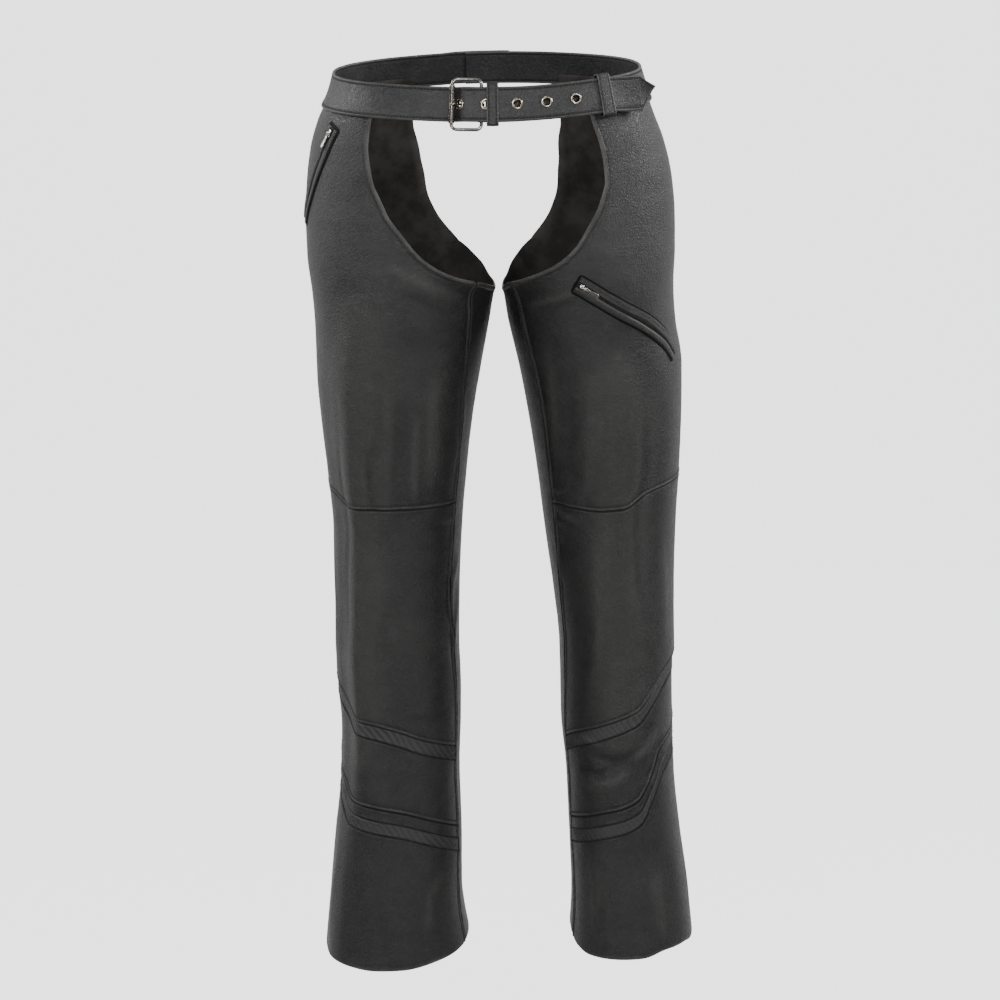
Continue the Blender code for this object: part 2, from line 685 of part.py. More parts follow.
def make_back(leg, front):
    """The back panel of a leg, from the inseam round to the outer seam."""
    lower, upper = back_grids(leg, front)
    shape = (len(lower) + ROWS["hip"], BACK_COLUMNS + 1, 3)
    layers = []
    for lift in (0.0, -WALL):
        low = seam_pull(on_leg(leg, lower[..., 0], lower[..., 1], lift), ("first", "last"))
        high = seam_pull(on_leg(leg, upper[..., 0], upper[..., 1], lift), ("last",))
        layer = np.zeros(shape)
        layer[:len(low)] = low
        layer[len(low):, SEAT_COLUMNS:] = high[1:]
        layers.append(layer)
    keep = np.ones((shape[0] - 1, BACK_COLUMNS), bool)
    keep[len(lower) - 1:, :SEAT_COLUMNS] = False
    make_shell(f"{leg}_back", layers[0], layers[1], "leather", keep)


def make_panel(name, leg, places, finish, recess=0.0, thickness=WALL):
    """A leather or cloth panel cut from the leg's surface."""
    angle, height = places[..., 0], places[..., 1]
    sides = ("bottom", "top", "first", "last")
    outer = seam_pull(on_leg(leg, angle, height, -recess), sides)
    inner = seam_pull(on_leg(leg, angle, height, -recess - thickness), sides)
    make_shell(name, outer, inner, finish)


def make_leg(leg):
    """All panels of one leg."""
    front = front_pieces(leg)
    for name, places in front.items():
        if name.endswith("band"):
            make_panel(f"{leg}_{name}", leg, places, "band_cloth", BAND_RECESS, BAND_WALL)
        else:
            make_panel(f"{leg}_{name}", leg, places, "leather")
    make_back(leg, front)


# --- Pockets ---------------------------------------------------------------------------


def beside(leg, places, shift):
    """Places moved sideways off a line on the leg by a shift in metres (+ is uphill)."""
    angle, height = places[:, 0], places[:, 1]
    per_degree, per_metre = leg_steps(leg, angle, height)
    along = np.gradient(leg_surface(leg, angle, height), axis=0)
    sideways = unit(np.cross(leg_normal(leg, angle, height), along))
    sideways = sideways * np.where(sideways[:, 2:] < 0.0, -1.0, 1.0)
    moved = np.empty_like(places)
    for k in range(len(places)):
        base = np.stack([per_degree[k], per_metre[k]], axis=1)
        steps = np.linalg.lstsq(base, sideways[k] * shift, rcond=None)[0]
        moved[k] = places[k] + steps
    return moved


def make_strip(name, leg, line, shifts, lifts, finish):
    """A strip that lies on the leg along a line: side shifts and the lift of its top."""
    outer, inner = [], []
    for shift, lift in zip(shifts, lifts):
        places = beside(leg, line, shift)
        outer.append(on_leg(leg, places[:, 0], places[:, 1], lift))
        inner.append(on_leg(leg, places[:, 0], places[:, 1], LAY_GAP))
    return make_shell(name, np.stack(outer, axis=1), np.stack(inner, axis=1), finish)


def zip_frame(leg, line, from_end):
    """Origin on the leg and axes along the zip, across it and out, near the zip's top."""
    points = on_leg(leg, line[:, 0], line[:, 1], 0.0)
    run = np.concatenate([[0.0], np.cumsum(np.linalg.norm(np.diff(points, axis=0), axis=1))])
    at = np.array([np.interp(from_end, run, line[:, k]) for k in (0, 1)])
    origin = on_leg(leg, at[:1], at[1:], 0.0)[0]
    ahead = np.array([np.interp(from_end + 8 * MM, run, line[:, k]) for k in (0, 1)])
    out = leg_normal(leg, at[:1], at[1:])[0]
    along = on_leg(leg, ahead[:1], ahead[1:], 0.0)[0] - origin
    along = unit(along - out * float(np.dot(along, out)))
    return origin, np.stack([along, np.cross(out, along), out])


def slider_blocks():
    """Slider: a base plate under a bridge that holds the tab's bar."""
    filled = np.zeros((5, 3, 3), bool)
    filled[:, :, 0] = True
    filled[1, 1, 1] = True
    filled[3, 1, 1] = True
    filled[1:4, 1, 2] = True
    return filled


def tab_blocks():
    """Pull tab: a bar and two rails round the bridge, then a plate with a nipped end."""
    filled = np.zeros((4, 5, 1), bool)
    filled[0, :, 0] = True
    filled[1, :2, 0] = True
    filled[1, 3:, 0] = True
    filled[2, :, 0] = True
    filled[3, 1:4, 0] = True
    return filled


def place_on_hinge(obj, origin, axes):
    """Give a tab its origin on its hinge axis, turned to the zip's directions."""
    matrix = Matrix(axes.T.tolist()).to_4x4()
    matrix.translation = Vector(origin)
    obj.data.transform(matrix.inverted())
    obj.matrix_world = matrix


def make_pocket(name, leg, rows, slider_at):
    """A slanted zip pocket: two welts, the zip between them, its slider and pull tab."""
    line = resample(edge_places(rows), 12)
    edges = (MOUTH_HALF, MOUTH_HALF + WELT_WIDTH / 2, MOUTH_HALF + WELT_WIDTH)
    lifts = (WELT_EDGE_LIFT, WELT_CREST_LIFT, WELT_EDGE_LIFT)
    make_strip(f"{name}_welt_upper", leg, line, edges, lifts, "leather")
    make_strip(f"{name}_welt_lower", leg, line, [-edge for edge in edges], lifts, "leather")
    make_strip(f"{name}_zip", leg, line, (-ZIP_HALF, 0.0, ZIP_HALF),
               (ZIP_LIFT, ZIP_LIFT + ZIP_RIDGE, ZIP_LIFT), "zip_tape")
    frame = zip_frame(leg, line, slider_at)
    make_blocks(f"{name}_slider", SLIDER_STEPS, slider_blocks(), frame, "antique_metal")
    tab = make_blocks(f"{name}_pull", TAB_STEPS, tab_blocks(), frame, "antique_metal")
    origin, axes = frame
    place_on_hinge(tab, origin + axes[2] * HINGE_OUT, axes)


# --- Belt ------------------------------------------------------------------------------


def path_sides(path, thickness):
    """Two lines half a thickness either side of a path of (arc, lift) points."""
    run = unit(np.gradient(path, axis=0))
    across = np.stack([run[:, 1], -run[:, 0]], axis=1) * np.asarray(thickness)[:, None] / 2
    return path + across, path - across


def strap_grid(line, rises):
    """Grid of points on the belt for a line of (arc, lift) and a row of rises each."""
    return on_belt(line[:, None, 0], rises, line[:, None, 1])


def tail_centre(arc):
    """Lift of the outer strap's mid plane at an arc, with the lap at the centre back."""
    lap_start = -(HALF_WAIST - LAP_HALF - LAP_RUN_OUT)
    lap_end = lap_start + LAP_HALF
    knots = [-(HALF_WAIST + LAP_HALF), lap_start, lap_end]
    lifts = [BELT_REST + LAP_STEP, BELT_REST + LAP_STEP, BELT_REST]
    knots += [arc_mm * MM for arc_mm in table_column(TAIL_LINE, 0)]
    lifts += [lift_mm * MM for lift_mm in table_column(TAIL_LINE, 1)]
    return np.interp(arc, knots, lifts)


def tail_grid(path, share):
    """Grid of points of one side of the outer strap at shares of its half height."""
    arc, lift = path[:, :1], path[:, 1:]
    knots = np.asarray(table_column(TAIL_LINE, 0)) * MM
    droop = np.interp(arc, knots, table_column(TAIL_LINE, 2)) * MM
    lean = np.interp(arc, knots, table_column(TAIL_LINE, 3)) * MM
    return on_belt(arc, share * tail_half_height(arc) - droop, lift + lean * share)


def tail_half_height(arc):
    """Half height of the outer strap: full, then tapering to a blunt point."""
    start = TAIL_TIP - TIP_LENGTH
    return np.interp(arc, [start, TAIL_TIP], [STRAP_HALF_HEIGHT, TIP_HALF_HEIGHT])


def tail_stops():
    """Arcs of the outer strap's rows, with one cell for each eyelet."""
    around = np.arange(-(HALF_WAIST + LAP_HALF), TAIL_STOPS[0] * MM - 8 * MM, 14 * MM)
    cells = [(centre + end * half) * MM for centre, half in EYELETS for end in (-1, 1)]
    ahead = [stop * MM for stop in TAIL_STOPS]
    return np.sort(np.concatenate([around, cells, ahead]))


def hole_rim(centre, half, side):
    """Rim of an eyelet hole on one side of the outer strap."""
    turn = np.arange(HOLE_SIDES) / HOLE_SIDES * 2 * math.pi + math.pi / 4
    share = half * MM / HOLE_CELL
    arc = centre * MM + HOLE_RADIUS * share * np.cos(turn)
    start, end = (centre - half) * MM, (centre + half) * MM
    rise = tail_centre(end) - tail_centre(start)
    run = unit(np.array([end - start, rise]))
    lift = tail_centre(centre * MM) + (arc - centre * MM) * rise / (end - start)
    return on_belt(arc - run[1] * side, HOLE_RADIUS * np.sin(turn), lift + run[0] * side)


def make_tail_strap():
    """The belt's outer strap: eyelet holes in front, a pointed tip, a lap behind."""
    arcs = tail_stops()
    path = np.stack([arcs, tail_centre(arcs)], axis=1)
    low, high = path_sides(path, np.full(len(arcs), STRAP))
    hole_share = HOLE_CELL / STRAP_HALF_HEIGHT
    share = np.array([[-1.0, -hole_share, hole_share, 1.0]])
    outer, inner = tail_grid(high, share), tail_grid(low, share)
    keep = np.ones((len(arcs) - 1, 3), bool)
    for centre, half in EYELETS:
        keep[int(np.argmin(np.abs(arcs - (centre - half) * MM))), 1] = False
    faces = shell_faces(keep, False)
    vertices = [outer.reshape(-1, 3), inner.reshape(-1, 3)]
    # The slit that shell_faces leaves round each eyelet cell is filled to the hole's rim.
    layer = len(arcs) * 4
    count = 2 * layer
    for centre, half in EYELETS:
        j = int(np.argmin(np.abs(arcs - (centre - half) * MM)))
        square = [(j + 1) * 4 + 2, j * 4 + 2, j * 4 + 1, (j + 1) * 4 + 1]
        rims = {frozenset(pair) for pair in zip(square, square[1:] + square[:1])}
        faces = [face for face in faces if frozenset(k for k in face if k < layer) not in rims]
        for side, sign in ((0, 1.0), (1, -1.0)):
            vertices.append(hole_rim(centre, half, sign * STRAP / 2))
            first = count + side * HOLE_SIDES
            quarter = HOLE_SIDES // 4
            for q in range(4):
                start = q * quarter
                near = square[q] + side * layer
                far = square[(q + 1) % 4] + side * layer
                fan = [first + (start + k) % HOLE_SIDES for k in range(quarter + 1)]
                middle = quarter // 2
                faces += [[near, fan[k], fan[k + 1]] for k in range(middle)]
                faces += [[far, fan[k], fan[k + 1]] for k in range(middle, quarter)]
                faces.append([near, fan[middle], far])
        for k in range(HOLE_SIDES):
            ahead = (k + 1) % HOLE_SIDES
            faces.append([count + k, count + ahead, count + HOLE_SIDES + ahead,
                          count + HOLE_SIDES + k])
        count += 2 * HOLE_SIDES
    return make_object("belt_strap", np.concatenate(vertices), faces, "belt_leather")


def make_buckle_strap():
    """The belt's inner strap, folded round the buckle's heel bar with a slot in the fold."""
    last = BUCKLE_STRAP_IN[0][0] * MM + STRAP_STEP / 2
    around = np.arange(HALF_WAIST + LAP_HALF, last, -STRAP_STEP)
    rows = [(arc / MM, BELT_REST / MM, STRAP / MM) for arc in around] + list(BUCKLE_STRAP_IN)
    slot_start = len(rows) - 1
    for degrees in range(90, 271, 30):
        turn = math.radians(degrees)
        rows.append(((HEEL_BAR_ARC + LOOP_RADIUS * math.cos(turn)) / MM,
                     (HEEL_BAR_LIFT + LOOP_RADIUS * math.sin(turn)) / MM, 2.0))
    slot_end = len(rows) + 1
    rows += list(BUCKLE_STRAP_BACK)
    table = np.asarray(rows) * MM
    outside, inside = path_sides(table[:, :2], table[:, 2])
    rises = np.array([-STRAP_HALF_HEIGHT, -SLOT_HALF, SLOT_HALF, STRAP_HALF_HEIGHT])
    keep = np.ones((len(rows) - 1, 3), bool)
    keep[slot_start:slot_end, 1] = False
    return make_shell("belt_buckle_strap", strap_grid(outside, rises[None]),
                      strap_grid(inside, rises[None]), "belt_leather", keep)


def make_keeper(name, first, last, top):
    """A leather loop round both straps."""
    low, high = KEEPER_LIFT, top * MM
    half = KEEPER_HALF_HEIGHT - KEEPER_LEATHER / 2
    centres = ((half - KEEPER_CORNER, high - KEEPER_CORNER, 0),
               (-half + KEEPER_CORNER, high - KEEPER_CORNER, 90),
               (-half + KEEPER_CORNER, low + KEEPER_CORNER, 180),
               (half - KEEPER_CORNER, low + KEEPER_CORNER, 270))
    sides = []
    for side in (KEEPER_LEATHER / 2, -KEEPER_LEATHER / 2):
        loop = []
        for rise, lift, start in centres:
            for degrees in range(start, start + 91, 30):
                turn = math.radians(degrees)
                reach = KEEPER_CORNER + side
                loop.append((rise + reach * math.cos(turn), lift + reach * math.sin(turn)))
            if start in (0, 180):
                flat = loop[-1][1]
                loop += [(end * SLOT_HALF, flat) for end in (1 - start / 90, start / 90 - 1)]
        loop = np.asarray(loop)
        arcs = np.linspace(first, last, 3) * MM
        sides.append(on_belt(arcs[None], loop[:, :1], loop[:, 1:]))
    return make_shell(name, sides[0], sides[1], "belt_leather", closed=True)


def make_frame():
    """The buckle's wire frame, bent to the waist."""
    half_arc = (HEEL_BAR_ARC - ROLLER_ARC) / 2
    middle = (HEEL_BAR_ARC + ROLLER_ARC) / 2
    corners = ((half_arc, FRAME_HALF_HEIGHT, 0), (-half_arc, FRAME_HALF_HEIGHT, 90),
               (-half_arc, -FRAME_HALF_HEIGHT, 180), (half_arc, -FRAME_HALF_HEIGHT, 270))
    path = []
    for arc, rise, start in corners:
        for degrees in range(start, start + 91, 30):
            turn = math.radians(degrees)
            path.append((arc - math.copysign(FRAME_CORNER, arc) + FRAME_CORNER * math.cos(turn),
                         rise - math.copysign(FRAME_CORNER, rise)
                         + FRAME_CORNER * math.sin(turn)))
    path = np.asarray(path)
    lift = np.interp(path[:, 0], [-half_arc, half_arc], [ROLLER_LIFT, HEEL_BAR_LIFT])
    points = on_belt(path[:, 0] + middle, path[:, 1], lift)
    out = unit(on_belt(path[:, 0] + middle, path[:, 1], lift + MM) - points)
    run = unit(np.roll(points, -1, axis=0) - np.roll(points, 1, axis=0))
    aside = unit(np.cross(out, run))
    turns = np.arange(10) / 10 * 2 * math.pi
    ring = aside[:, None] * np.cos(turns)[None, :, None] + out[:, None] * np.sin(turns)[None, :, None]
    return make_ring("buckle_frame", points[:, None] + ring * WIRE, "antique_metal")


def make_roller():
    """The roller: a sleeve round the frame's outer bar."""
    turns = np.arange(14) / 14 * 2 * math.pi
    rises = np.array([-ROLLER_HALF_LENGTH, ROLLER_HALF_LENGTH])[None]
    sides = []
    for radius in (ROLLER_RADIUS, ROLLER_BORE):
        arcs = ROLLER_ARC + radius * np.cos(turns)[:, None]
        lifts = ROLLER_LIFT + radius * np.sin(turns)[:, None]
        sides.append(on_belt(arcs, rises, lifts))
    return make_shell("buckle_roller", sides[0], sides[1], "antique_metal", closed=True)


def make_prong():
    """The prong: an eye round the heel bar, then a blade through an eyelet to the roller."""
    eye = [(HEEL_BAR_ARC + PRONG_EYE * math.cos(math.radians(degrees)),
            HEEL_BAR_LIFT + PRONG_EYE * math.sin(math.radians(degrees)))
           for degrees in range(210, 451, 30)]
    path = np.concatenate([eye, np.asarray(PRONG_LINE) * MM])
    outside, inside = path_sides(path, np.full(len(path), PRONG_THICKNESS))
    rises = np.array([-PRONG_HALF_WIDTH, PRONG_HALF_WIDTH])[None]
    return make_shell("buckle_prong", strap_grid(outside, rises), strap_grid(inside, rises),
                      "antique_metal")


def make_eyelet(number, centre, half):
    """A turned metal eyelet set in the outer strap."""
    start, end = (centre - half) * MM, (centre + half) * MM
    run = unit(np.array([end - start, tail_centre(end) - tail_centre(start)]))
    middle = (tail_centre(start) + tail_centre(end)) / 2
    turns = (np.arange(HOLE_SIDES) / HOLE_SIDES * 2 * math.pi + math.pi / 4)[:, None]
    section = np.asarray(EYELET_SECTION) * MM
    aside = section[None, :, 0] * np.cos(turns)
    arc = centre * MM + aside * run[0] - section[None, :, 1] * run[1]
    lift = middle + aside * run[1] + section[None, :, 1] * run[0]
    grid = on_belt(arc, section[None, :, 0] * np.sin(turns), lift)
    return make_ring(f"eyelet_{number}", grid, "eyelet_metal")


def make_belt():
    """Straps, keepers, buckle and eyelets."""
    make_tail_strap()
    make_buckle_strap()
    for keeper in KEEPERS:
        make_keeper(*keeper)
    make_frame()
    make_roller()
    make_prong()
    for number, (centre, half) in enumerate(EYELETS, start=1):
        make_eyelet(number, centre, half)


def main():
    """Clear the scene and build the chaps."""
    for obj in list(bpy.data.objects):
        bpy.data.objects.remove(obj)
    make_leg("right")
    make_leg("left")
    make_belt()
    make_pocket("thigh_pocket", "left", THIGH_POCKET, SLIDER_FROM_END)
    make_pocket("hip_pocket", "right", HIP_POCKET, SLIDER_FROM_END)


main()
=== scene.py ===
"""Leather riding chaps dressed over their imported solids.

Metres, +Z up, -Y is the front and +X the wearer's left. A place on a leg is an angle round
the leg's centre (0 inner side, 90 front, 180 outer side, 270 back) and a height. A place on
the belt is an arc length from the front centre, a rise above the mid line and a lift.
"""

import logging
import math
from dataclasses import dataclass, field
from enum import Enum
from typing import Callable, Sequence

import bpy
import numpy as np
from mathutils import Matrix, Vector
from numpy.typing import NDArray


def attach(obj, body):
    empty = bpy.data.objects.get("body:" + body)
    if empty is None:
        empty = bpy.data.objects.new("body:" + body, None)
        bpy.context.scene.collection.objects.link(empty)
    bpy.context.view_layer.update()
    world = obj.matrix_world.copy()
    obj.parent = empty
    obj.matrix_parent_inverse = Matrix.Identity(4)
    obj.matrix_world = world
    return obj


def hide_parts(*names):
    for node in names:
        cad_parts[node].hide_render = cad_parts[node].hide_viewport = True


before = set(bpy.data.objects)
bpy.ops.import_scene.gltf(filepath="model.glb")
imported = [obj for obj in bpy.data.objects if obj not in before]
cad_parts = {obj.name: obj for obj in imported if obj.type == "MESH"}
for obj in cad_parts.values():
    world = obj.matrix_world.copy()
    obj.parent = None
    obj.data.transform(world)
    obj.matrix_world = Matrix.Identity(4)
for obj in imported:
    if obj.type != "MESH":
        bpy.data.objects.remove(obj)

Array = NDArray[np.float64]
Rows = Sequence[Sequence[float]]
Colour = tuple[float, float, float]
Socket = bpy.types.NodeSocket
Material = bpy.types.Material
NodeTree = bpy.types.NodeTree
Piece = bpy.types.Object
# Two arrays that belong together: points and faces, points and normals, origin and axes
Pair = tuple[Array, Array]

MM = 0.001
FULL_TURN = 360.0
LATTICE = (97, 89)
LOG = logging.getLogger("chaps")


# --- Curves ------------------------------------------------------------------------------


def smooth_through(knots: Sequence[float], values: Sequence[float], at: Array) -> Array:
    """Read a smooth curve through rows: cubic pieces whose slopes are harmonic means.

    Args:
        knots: Where the rows stand.
        values: What they hold.
        at: Where to read the curve.

    Returns:
        The curve's values, held constant past both ends.
    """
    order = np.argsort(knots)
    x = np.asarray(knots, float)[order]
    y = np.asarray(values, float)[order]
    step = np.diff(x)
    slope = np.diff(y) / step
    total = slope[:-1] + slope[1:]
    turning = slope[:-1] * slope[1:] <= 0.0
    inner = np.where(turning, 0.0, 2.0 * slope[:-1] * slope[1:] / np.where(turning, 1.0, total))
    tangent = np.concatenate([slope[:1], inner, slope[-1:]])
    at = np.clip(np.asarray(at, float), x[0], x[-1])
    k = np.clip(np.searchsorted(x, at, side="right") - 1, 0, len(x) - 2)
    t = (at - x[k]) / step[k]
    start = (2 * t**3 - 3 * t**2 + 1) * y[k] + (t**3 - 2 * t**2 + t) * step[k] * tangent[k]
    end = (3 * t**2 - 2 * t**3) * y[k + 1] + (t**3 - t**2) * step[k] * tangent[k + 1]
    return start + end


def column(rows: Rows, index: int) -> list[float]:
    """One column of a table of rows."""
    return [row[index] for row in rows]


def read_at(at: Array | float, knots: Array, values: Array) -> Array:
    """Each column of some values, read in straight lines between the knots."""
    return np.stack([np.interp(at, knots, one) for one in values.T], axis=-1)


def smooth_at(at: Array, knots: Array, values: Array) -> Array:
    """Each column of some values, read along smooth curves."""
    return np.stack([smooth_through(knots, one, at) for one in values.T], axis=-1)


def unit(vectors: Array) -> Array:
    """Vectors scaled to length 1."""
    length = np.linalg.norm(vectors, axis=-1, keepdims=True)
    return vectors / np.maximum(length, 1e-12)


def stack(*parts: Array | float) -> Array:
    """Arrays and single numbers side by side along a new last axis."""
    return np.stack(np.broadcast_arrays(*parts), axis=-1)


def run_along(points: Array) -> Array:
    """Distance along a line of points, from its first."""
    steps = np.linalg.norm(np.diff(points, axis=0), axis=1)
    return np.concatenate([[0.0], np.cumsum(steps)])


def bump(distance: Array, centre: float, half_width: float) -> Array:
    """A bell of height 1: exp(-((distance - centre) / half width)^2)."""
    return np.exp(-(((distance - centre) / half_width) ** 2))


def round_turns(count: int) -> Array:
    """Even angles once round a circle, in radians."""
    return np.arange(count) / count * 2 * math.pi


def soft_noise(u: Array, v: Array, cell: float, seed: int) -> Array:
    """Smooth random relief from -1 to 1: a random lattice blended by t^3(6t^2 - 15t + 10).

    Args:
        u: First coordinate, in the cell's unit.
        v: Second coordinate.
        cell: Size of a lattice cell.
        seed: Which lattice.

    Returns:
        One value for each place.
    """
    lattice = np.random.default_rng(seed).uniform(-1.0, 1.0, LATTICE)
    x, y = np.broadcast_arrays(np.asarray(u) / cell, np.asarray(v) / cell)
    i, j = np.floor(x).astype(int), np.floor(y).astype(int)
    s, t = x - i, y - j
    s = s * s * s * (s * (6 * s - 15) + 10)
    t = t * t * t * (t * (6 * t - 15) + 10)

    def corner(a: int, b: int) -> Array:
        return lattice[(i + a) % LATTICE[0], (j + b) % LATTICE[1]]

    low = corner(0, 0) * (1 - s) + corner(1, 0) * s
    high = corner(0, 1) * (1 - s) + corner(1, 1) * s
    return low * (1 - t) + high * t


def graded_stops(length: float, step: float, ends: Sequence[float] = ()) -> Array:
    """Shares from 0 to 1 with even steps between and close ones at both ends.

    Args:
        length: The run's length in mm.
        step: Even step in mm.
        ends: Distances in mm from each end that get a stop of their own.

    Returns:
        Increasing shares, first 0 and last 1.
    """
    inner = max(ends) if len(ends) else 0.0
    count = max(2, int(round((length - 2 * inner) / step)))
    middle = np.linspace(inner, length - inner, count + 1)
    near = np.asarray([end for end in ends if end < inner], float)
    stops = np.concatenate([[0.0], near, middle, length - near[::-1], [length]])
    return np.unique(np.round(stops, 6)) / length


# --- Meshes ------------------------------------------------------------------------------


def make_piece(name: str, points: Array, faces: Array, materials: Sequence[Material],
               places: Array | None = None, inside: Array | None = None,
               masks: dict[str, Array] | None = None) -> Piece:
    """Put a surface of four-sided faces into a mesh object, faces outwards, shaded smooth.

    Args:
        name: The object's name.
        points: Vertices, n by 3.
        faces: Corner numbers, m by 4.
        materials: Its finishes; the second is the inner side's.
        places: A flat coordinate in metres for each vertex, for patterns that follow it.
        inside: Which faces take the second finish.
        masks: Named values from 0 to 1 for each vertex.

    Returns:
        The object, at the origin.
    """
    a, b, c, d = (points[faces[:, k]] for k in range(4))
    volume = np.einsum("ij,ij->", a, np.cross(b, c)) + np.einsum("ij,ij->", a, np.cross(c, d))
    if volume < 0.0:
        faces = faces[:, ::-1]
    mesh = bpy.data.meshes.new(name)
    mesh.vertices.add(len(points))
    mesh.vertices.foreach_set("co", points.astype(np.float32).ravel())
    mesh.loops.add(faces.size)
    mesh.loops.foreach_set("vertex_index", faces.astype(np.int32).ravel())
    mesh.polygons.add(len(faces))
    mesh.polygons.foreach_set("loop_start", np.arange(len(faces), dtype=np.int32) * 4)
    for material in materials:
        mesh.materials.append(material)
    if inside is not None:
        mesh.polygons.foreach_set("material_index", inside.astype(np.int32))
    mesh.update(calc_edges=True)
    if places is not None:
        layer = mesh.uv_layers.new(name="cut")
        layer.data.foreach_set("uv", places[faces.ravel()].astype(np.float32).ravel())
    for mask, values in (masks or {}).items():
        attribute = mesh.attributes.new(mask, "FLOAT", "POINT")
        attribute.data.foreach_set("value", values.astype(np.float32).ravel())
    mesh.shade_smooth()
    piece = bpy.data.objects.new(name, mesh)
    bpy.context.scene.collection.objects.link(piece)
    return piece


def cells_of(number: Array) -> Array:
    """The four corner numbers of each cell of a numbered grid."""
    return stack(number[:-1, :-1], number[:-1, 1:], number[1:, 1:], number[1:, :-1])


def wall_faces(keep: Array, closed: bool = False) -> Pair:
    """Faces of a wall between an outer and an inner grid of points.

    Args:
        keep: Which cells of the grid exist.
        closed: Whether the last row of points joins the first.

    Returns:
        Faces, with the inner grid's points numbered after the outer's, and which of them
        lie on the inner side.
    """
    rows, columns = keep.shape
    across = columns + 1
    point_rows = rows if closed else rows + 1
    number = np.arange(point_rows * across).reshape(point_rows, across)
    if closed:
        number = np.concatenate([number, number[:1]])
    layer = point_rows * across
    cells = cells_of(number)
    outer = cells[keep]
    padded = np.zeros((rows + 2, columns + 2), bool)
    padded[1:-1, 1:-1] = keep
    if closed:
        padded[0, 1:-1], padded[-1, 1:-1] = keep[-1], keep[0]
    sides = (
        (padded[:-2, 1:-1], 0, 1),
        (padded[1:-1, 2:], 1, 2),
        (padded[2:, 1:-1], 2, 3),
        (padded[1:-1, :-2], 3, 0),
    )
    rims = []
    for neighbour, first, second in sides:
        bare = cells[keep & ~neighbour]
        a, b = bare[:, first], bare[:, second]
        rims.append(stack(b, a, a + layer, b + layer))
    faces = np.concatenate([outer, outer[:, ::-1] + layer] + rims)
    inside = np.zeros(len(faces), bool)
    inside[len(outer):2 * len(outer)] = True
    return faces, inside


def make_wall(name: str, outer: Array, inner: Array, materials: Sequence[Material],
              places: Array | None = None, keep: Array | None = None, closed: bool = False,
              masks: dict[str, Array] | None = None) -> Piece:
    """A wall between two grids of points; masks may have one value for a row or a column."""
    if keep is None:
        keep = np.ones((outer.shape[0] - (0 if closed else 1), outer.shape[1] - 1), bool)
    faces, inside = wall_faces(keep, closed)
    points = np.concatenate([outer.reshape(-1, 3), inner.reshape(-1, 3)])
    used = np.unique(faces)
    renumber = np.full(len(points), -1)
    renumber[used] = np.arange(len(used))
    if places is not None:
        places = np.concatenate([places.reshape(-1, 2)] * 2)[used]
    masks = {mask: np.tile(np.broadcast_to(values, outer.shape[:2]).ravel(), 2)[used]
             for mask, values in (masks or {}).items()}
    return make_piece(name, points[used], renumber[faces], materials, places,
                      inside if len(materials) > 1 else None, masks)


def ring_faces(rows: int, columns: int, closed: bool) -> Array:
    """Faces of a grid whose columns close on themselves, and its rows too where closed."""
    number = np.arange(rows * columns).reshape(rows, columns)
    number = np.concatenate([number, number[:, :1]], axis=1)
    if closed:
        number = np.concatenate([number, number[:1]])
    return cells_of(number).reshape(-1, 4)


def tube(path: Array, out: Array, section: Array, closed: bool = False,
         scale: Array | None = None) -> Pair:
    """Carry a section along a path: point + side * x + out * y.

    Args:
        path: Points of the centre line.
        out: A direction for each point that the section's second axis keeps near.
        section: Points (x, y) of the section, an even number of them.
        closed: Whether the path closes on itself.
        scale: A factor for the section at each point.

    Returns:
        Points and faces; open ends are closed with faces of their own.
    """
    if closed:
        run = unit(np.roll(path, -1, axis=0) - np.roll(path, 1, axis=0))
    else:
        run = unit(np.gradient(path, axis=0))
    side = unit(np.cross(out, run))
    up = np.cross(run, side)
    shape = np.broadcast_to(section[None], (len(path),) + section.shape)
    if scale is not None:
        shape = shape * scale.reshape(len(path), 1, -1)
    grid = path[:, None] + side[:, None] * shape[..., :1] + up[:, None] * shape[..., 1:]
    rows, columns = grid.shape[:2]
    faces = ring_faces(rows, columns, closed)
    if not closed:
        k = np.arange(columns // 2 - 1)
        first = stack(k, k + 1, columns - 2 - k, columns - 1 - k)
        last = first[:, ::-1] + (rows - 1) * columns
        faces = np.concatenate([faces, first[:, ::-1], last[:, ::-1]])
    return grid.reshape(-1, 3), faces


def square_reach(turn: Array, power: float) -> Array:
    """How far |x|^p + |y|^p = 1 reaches from its middle at a turn in radians."""
    return (np.abs(np.cos(turn)) ** power + np.abs(np.sin(turn)) ** power) ** (-1 / power)


def round_section(half_width: float, half_height: float, count: int = 12,
                  power: float = 2.0) -> Array:
    """A closed section |x/w|^p + |y/h|^p = 1, a circle or a rounded bar."""
    turn = (np.arange(count) + 0.5) / count * 2 * math.pi
    reach = square_reach(turn, power)
    return stack(half_width * reach * np.cos(turn), half_height * reach * np.sin(turn))


def join_parts(parts: Sequence[Pair]) -> Pair:
    """Several point and face lists as one."""
    points, faces, count = [], [], 0
    for part_points, part_faces in parts:
        points.append(part_points)
        faces.append(part_faces + count)
        count += len(part_points)
    return np.concatenate(points), np.concatenate(faces)


def rounded_loop(half: Sequence[float], corner: float, per_corner: int) -> Array:
    """A closed rounded rectangle about 0, its last point equal to its first.

    Args:
        half: Its half sizes along x and y.
        corner: The radius of its corners.
        per_corner: How many points each corner gets.

    Returns:
        Points (x, y), anticlockwise from the right-hand end of its first corner.
    """
    loop = []
    for x_sign, y_sign, start in ((1, 1, 0), (-1, 1, 90), (-1, -1, 180), (1, -1, 270)):
        turn = np.radians(np.linspace(start, start + 90, per_corner))
        loop.append(stack(x_sign * (half[0] - corner) + corner * np.cos(turn),
                          y_sign * (half[1] - corner) + corner * np.sin(turn)))
    return np.concatenate(loop + [loop[0][:1]])


